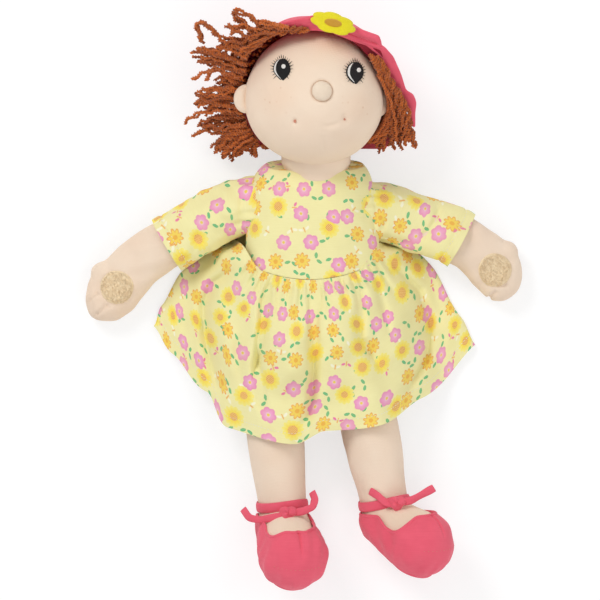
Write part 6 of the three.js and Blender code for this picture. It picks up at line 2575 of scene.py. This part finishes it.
    def creases(self) -> list[Crease]:
        """The skirt's folds and billows, as the picture shows them."""
        found = [
            Crease(self.right_fold, -7.5, 4.0, 0.25),
            Crease(self.parting, -7.5, 3.8, 0.2),
            Crease(((285, 279), (278, 310), (271, 334)), -2.6, 3.0, 0.5),
            Crease(((290, 310), (289, 360), (287, 404)), 8.0, 15, 0.4),
            Crease(self.right_thigh, -5.5, 4.4, 0.2),
            Crease(((228, 290), (222, 320), (226, 360), (234, 395)), 4.5, 9, 0.4),
            Crease(self.left_thigh, -5.0, 4.2, 0.2),
            Crease(self.left_fold, -4.2, 3.8, 0.3),
            Crease(((373, 272), (384, 309), (392, 340)), -2.6, 3.0, 0.35),
            Crease(((340, 300), (338, 350), (336, 400)), 4.0, 12, 0.45),
            Crease(((390, 290), (400, 330), (400, 380)), 4.0, 10, 0.4),
            Crease(((186, 290), (176, 325), (190, 360)), 2.5, 7, 0.4),
            Crease(((447, 310), (452, 335), (440, 360)), 2.5, 7, 0.4),
            Crease(((236, 330), (240, 370), (250, 410)), -2.6, 4, 0.35),
            Crease(self.right_fold, -2.4, 1.3, 0.25),
            Crease(self.right_thigh, -1.2, 1.5, 0.3),
            Crease(self.left_thigh, -1.2, 1.5, 0.3),
            Crease(self.left_fold, -1.8, 1.2, 0.3),
        ]
        for number, across in enumerate(self.gathers):
            x = (across - PHOTO_MIDDLE[0]) * PIXEL
            angle = math.asin(x / self.waist_radius) * 1.12
            y = self.waist[1] - math.sqrt(self.waist_radius**2 - x**2)
            down = PHOTO_MIDDLE[1] - y / PIXEL
            long = (26 + 18 * math.sin(2.3 * number) ** 2) / PIXEL
            seen = [(across + math.sin(angle) * s, down + math.cos(angle) * s) for s in (0, long / 2, long)]
            found.append(Crease(seen, -2.8, 1.5, 0.75, 3.0))
        return found

    def front_height(self, flat: Array, u: Array, v: Array) -> Array:
        """The height of the front panel's cloth.

        Args:
            flat: The x and y of each point.
            u: Its share round the waist.
            v: Its share from the waist to the hem.

        Returns:
            The height of each point.
        """
        low = BUILD.cloth + BUILD.gap
        body = self.under(*flat.T) + BUILD.gap
        held = (low + body + np.sqrt((low - body) ** 2 + 9)) / 2
        edge = np.minimum(u, 1 - u)
        side = smooth(0, 0.09, edge)
        roll = np.sqrt(np.clip(1 - (1 - np.clip(edge / 0.035, 0, 1)) ** 2, 0, 1))
        points = np.column_stack([flat, np.zeros(len(flat))])
        folds = self.fold_depth * creased(points, self.creases()) + 0.9 * lumps(points, 30, 161)
        height = low + (held - low) * side + roll * 2.6 * (1 - side)
        height += self.loft * smooth(0, 0.06, v) * smooth(0.02, 0.16, edge)
        height += folds * smooth(0, 0.04, v) * smooth(0, 0.05, edge)
        return np.maximum(height, np.maximum(self.solid(*flat.T) + 0.7, low + 0.2 * side))

    def skirt(self) -> None:
        """The skirt's front and back, each in two halves."""
        for front in (True, False):
            for side in Side:
                self._panel(side, front)

    def _panel(self, side: Side, front: bool, rows: int = 130, columns: int = 150) -> None:
        """One of the skirt's four panels, and the front ones' row of stitches.

        Args:
            side: Which half.
            front: Whether it is a front panel.
            rows: How many rows of points it has.
            columns: How many points a row has.
        """
        places = np.meshgrid(np.linspace(0, 1, rows), np.linspace(0, 1, columns), indexing="ij")
        v, share = (place.ravel() for place in places)
        parted = self.parted(v)
        u = parted * share if side is Side.RIGHT else parted + (1 - parted) * share
        flat = self.place(u, v, front)
        if front:
            z = self.front_height(flat, u, v) + BUILD.cloth
        else:
            uneven = np.where(v > 0, 0.25 * lumps(np.column_stack([flat, u]), 24, 171), 0)
            z = np.maximum(0.55 + uneven, 0.5) + BUILD.cloth / 2
        shell = grid(np.column_stack([flat, z]).reshape(rows, columns, 3), flip=front)
        centre = (u - 0.5) * 300
        shell.values["u"] = centre * (0.85 + 0.15 * v) if front else centre + 400
        shell.values["v"] = -v * self.skirt_length - self.waist_drop
        word = "front" if front else "back"
        name = f"skirt_{word}_{side}"
        piece = cloth_piece(name + "_cloth", shell, WARDROBE["dress"], BUILD.cloth, -1 if front else 1)
        self._follow(piece, side)
        stands_for(piece, [f"skirt_{word}"] if side is Side.RIGHT else [], "dress")
        if front:
            middle = float(self.parted(np.array([0.94]))[0])
            u = np.linspace(0.004, middle, 200) if side is Side.RIGHT else np.linspace(middle, 0.996, 200)
            v = 1 - 8 / (self.skirt_length - through(self.hem_rise, u))
            line = self.place(u, v)
            path = np.column_stack([line, self.front_height(line, u, v) + BUILD.cloth + 0.1])
            row = TRIMMINGS.row(name + "_stitches", path, "tape")
            self._follow(row, side)
            stands_for(row, [], "dress")

    def _follow(self, piece: Piece, side: Side) -> None:
        """Bakes the cloth's place into its mesh and works out how far its points lie over a thigh.

        Args:
            piece: The cloth.
            side: Which leg it follows.
        """
        hip = np.array(LEG_ROUTE[side][0], float)
        start, end = (tuple((hip + (0, beyond, 0)) * MM) for beyond in (60, -60))
        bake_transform(piece)
        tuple(start)
        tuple(end)
        away = points_of(piece)[:, :2] - self.waist
        share = np.degrees(np.arctan2(away[:, 0], -away[:, 1])) * side.sign / 42
        v = (lengths(away) - self.waist_radius) / 100
        weight = smooth(0.0, 0.17, share) * smooth(1.0, 0.62, share) * smooth(0.12, 0.62, v)


@dataclass
class Studio:
    """The floor, the soft lamps and the camera high above the doll."""

    distance: float = 20.0
    view_width: float = 0.45
    middle: tuple[float, float] = (-0.0075, -0.0375)
    reference: float = 0.045
    glow: float = 0.64
    daylight: float = 0.56
    floor_half: float = 3.0
    floor_z: float = -0.0005

    def camera(self) -> None:
        """The camera, straight above, framed as the photograph is."""
        data = bpy.data.cameras.new("camera")
        data.sensor_width = 36
        data.lens = 36 * (self.distance - self.reference) / self.view_width
        data.clip_end = 2 * self.distance
        made = linked("camera", data)
        made.location = (*self.middle, self.distance)
        bpy.context.scene.camera = made

    @staticmethod
    def _seen(pen: Pen) -> Wire:
        """1 where the camera sees a surface, itself or in a reflection."""
        rays = pen.node("ShaderNodeLightPath", "Is Camera Ray")
        for name in ("Is Glossy Ray", "Is Transmission Ray"):
            rays = rays.math("MAXIMUM", Wire(pen.tree.nodes["Light Path"].outputs[name]))
        return rays

    def floor(self) -> None:
        """The pale floor, which keeps the doll's soft shadow."""
        mesh = bpy.data.meshes.new("floor")
        corners = ((-1, -1), (1, -1), (1, 1), (-1, 1))
        points = [(x * self.floor_half, y * self.floor_half, self.floor_z) for x, y in corners]
        mesh.from_pydata(points, [], [(0, 1, 2, 3)])
        material = bpy.data.materials.new("floor_paper")
        material.use_nodes = True
        pen = Pen(material.node_tree)
        grain = pen.noise(pen.node("ShaderNodeTexCoord", "Object"), 40.0, 4.0)
        seen = self._seen(pen)
        paper = pen.mix(grain, (0.38, 0.38, 0.38, 1), (0.4, 0.4, 0.4, 1))
        given = {
            "Base Color": pen.mix(seen, (0.9, 0.9, 0.9, 1), paper),
            "Emission Strength": seen * self.glow,
            "Emission Color": (1, 1, 1, 1),
            "Roughness": 0.95,
            "Specular IOR Level": 0.0,
        }
        for name, value in given.items():
            plug(value, pen.tree.nodes["Principled BSDF"].inputs[name])
        mesh.materials.append(material)
        linked("floor", mesh)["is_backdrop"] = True

    def light(self) -> None:
        """Three large soft lamps and a pale world."""
        for name, place, size, power in (
            ("key", (-1.0, 1.2, 1.5), 0.8, 18.0),
            ("fill", (1.4, 0.2, 1.7), 1.6, 7.0),
            ("rim", (0.3, -1.5, 1.3), 1.4, 8.0),
        ):
            data = bpy.data.lights.new(name, "AREA")
            data.size = size
            data.energy = power
            lamp = linked(name, data)
            lamp.location = place
            lamp.rotation_euler = (-Vector(place)).to_track_quat("-Z", "Y").to_euler()
        world = bpy.data.worlds.new("studio")
        world.use_nodes = True
        background = world.node_tree.nodes["Background"]
        plug((1, 1, 1, 1), background.inputs["Color"])
        seen = self._seen(Pen(world.node_tree))
        plug(seen * (1 - self.daylight) + self.daylight, background.inputs["Strength"])
        bpy.context.scene.world = world
        bpy.context.scene.view_settings.view_transform = "Standard"


def main() -> None:
    """Builds the doll around its frame, piece by piece."""
    logging.basicConfig(level=logging.INFO, format="%(message)s")
    studio = Studio()
    studio.camera()
    trunk, head, limbs, dress, hat = Trunk(), Head(), Limbs(), Dress(), Hat()
    for build in (trunk.torso, trunk.neck, head.skin, head.nose, head.ears, head.eyes, head.mouth):
        build()
    for side in Side:
        shoe = Shoe(side)
        limbs.arm(side)
        limbs.leg(side, shoe)
        shoe.upper()
        shoe.sole()
        shoe.tie()
        dress.sleeve(side)
    hair = Hair(hat)
    for build in (dress.bodice, dress.skirt, hat.crown, hat.brim, hat.flower):
        build()
    for build in (hair.right, hair.left, hair.fringe, hair.rear, studio.floor, studio.light):
        build()
    boxes = {"cad": CAD_BOX, "visual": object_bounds()}
    {name: [list(map(float, corner)) for corner in box] for name, box in boxes.items()}


if __name__ == "__main__":
    main()
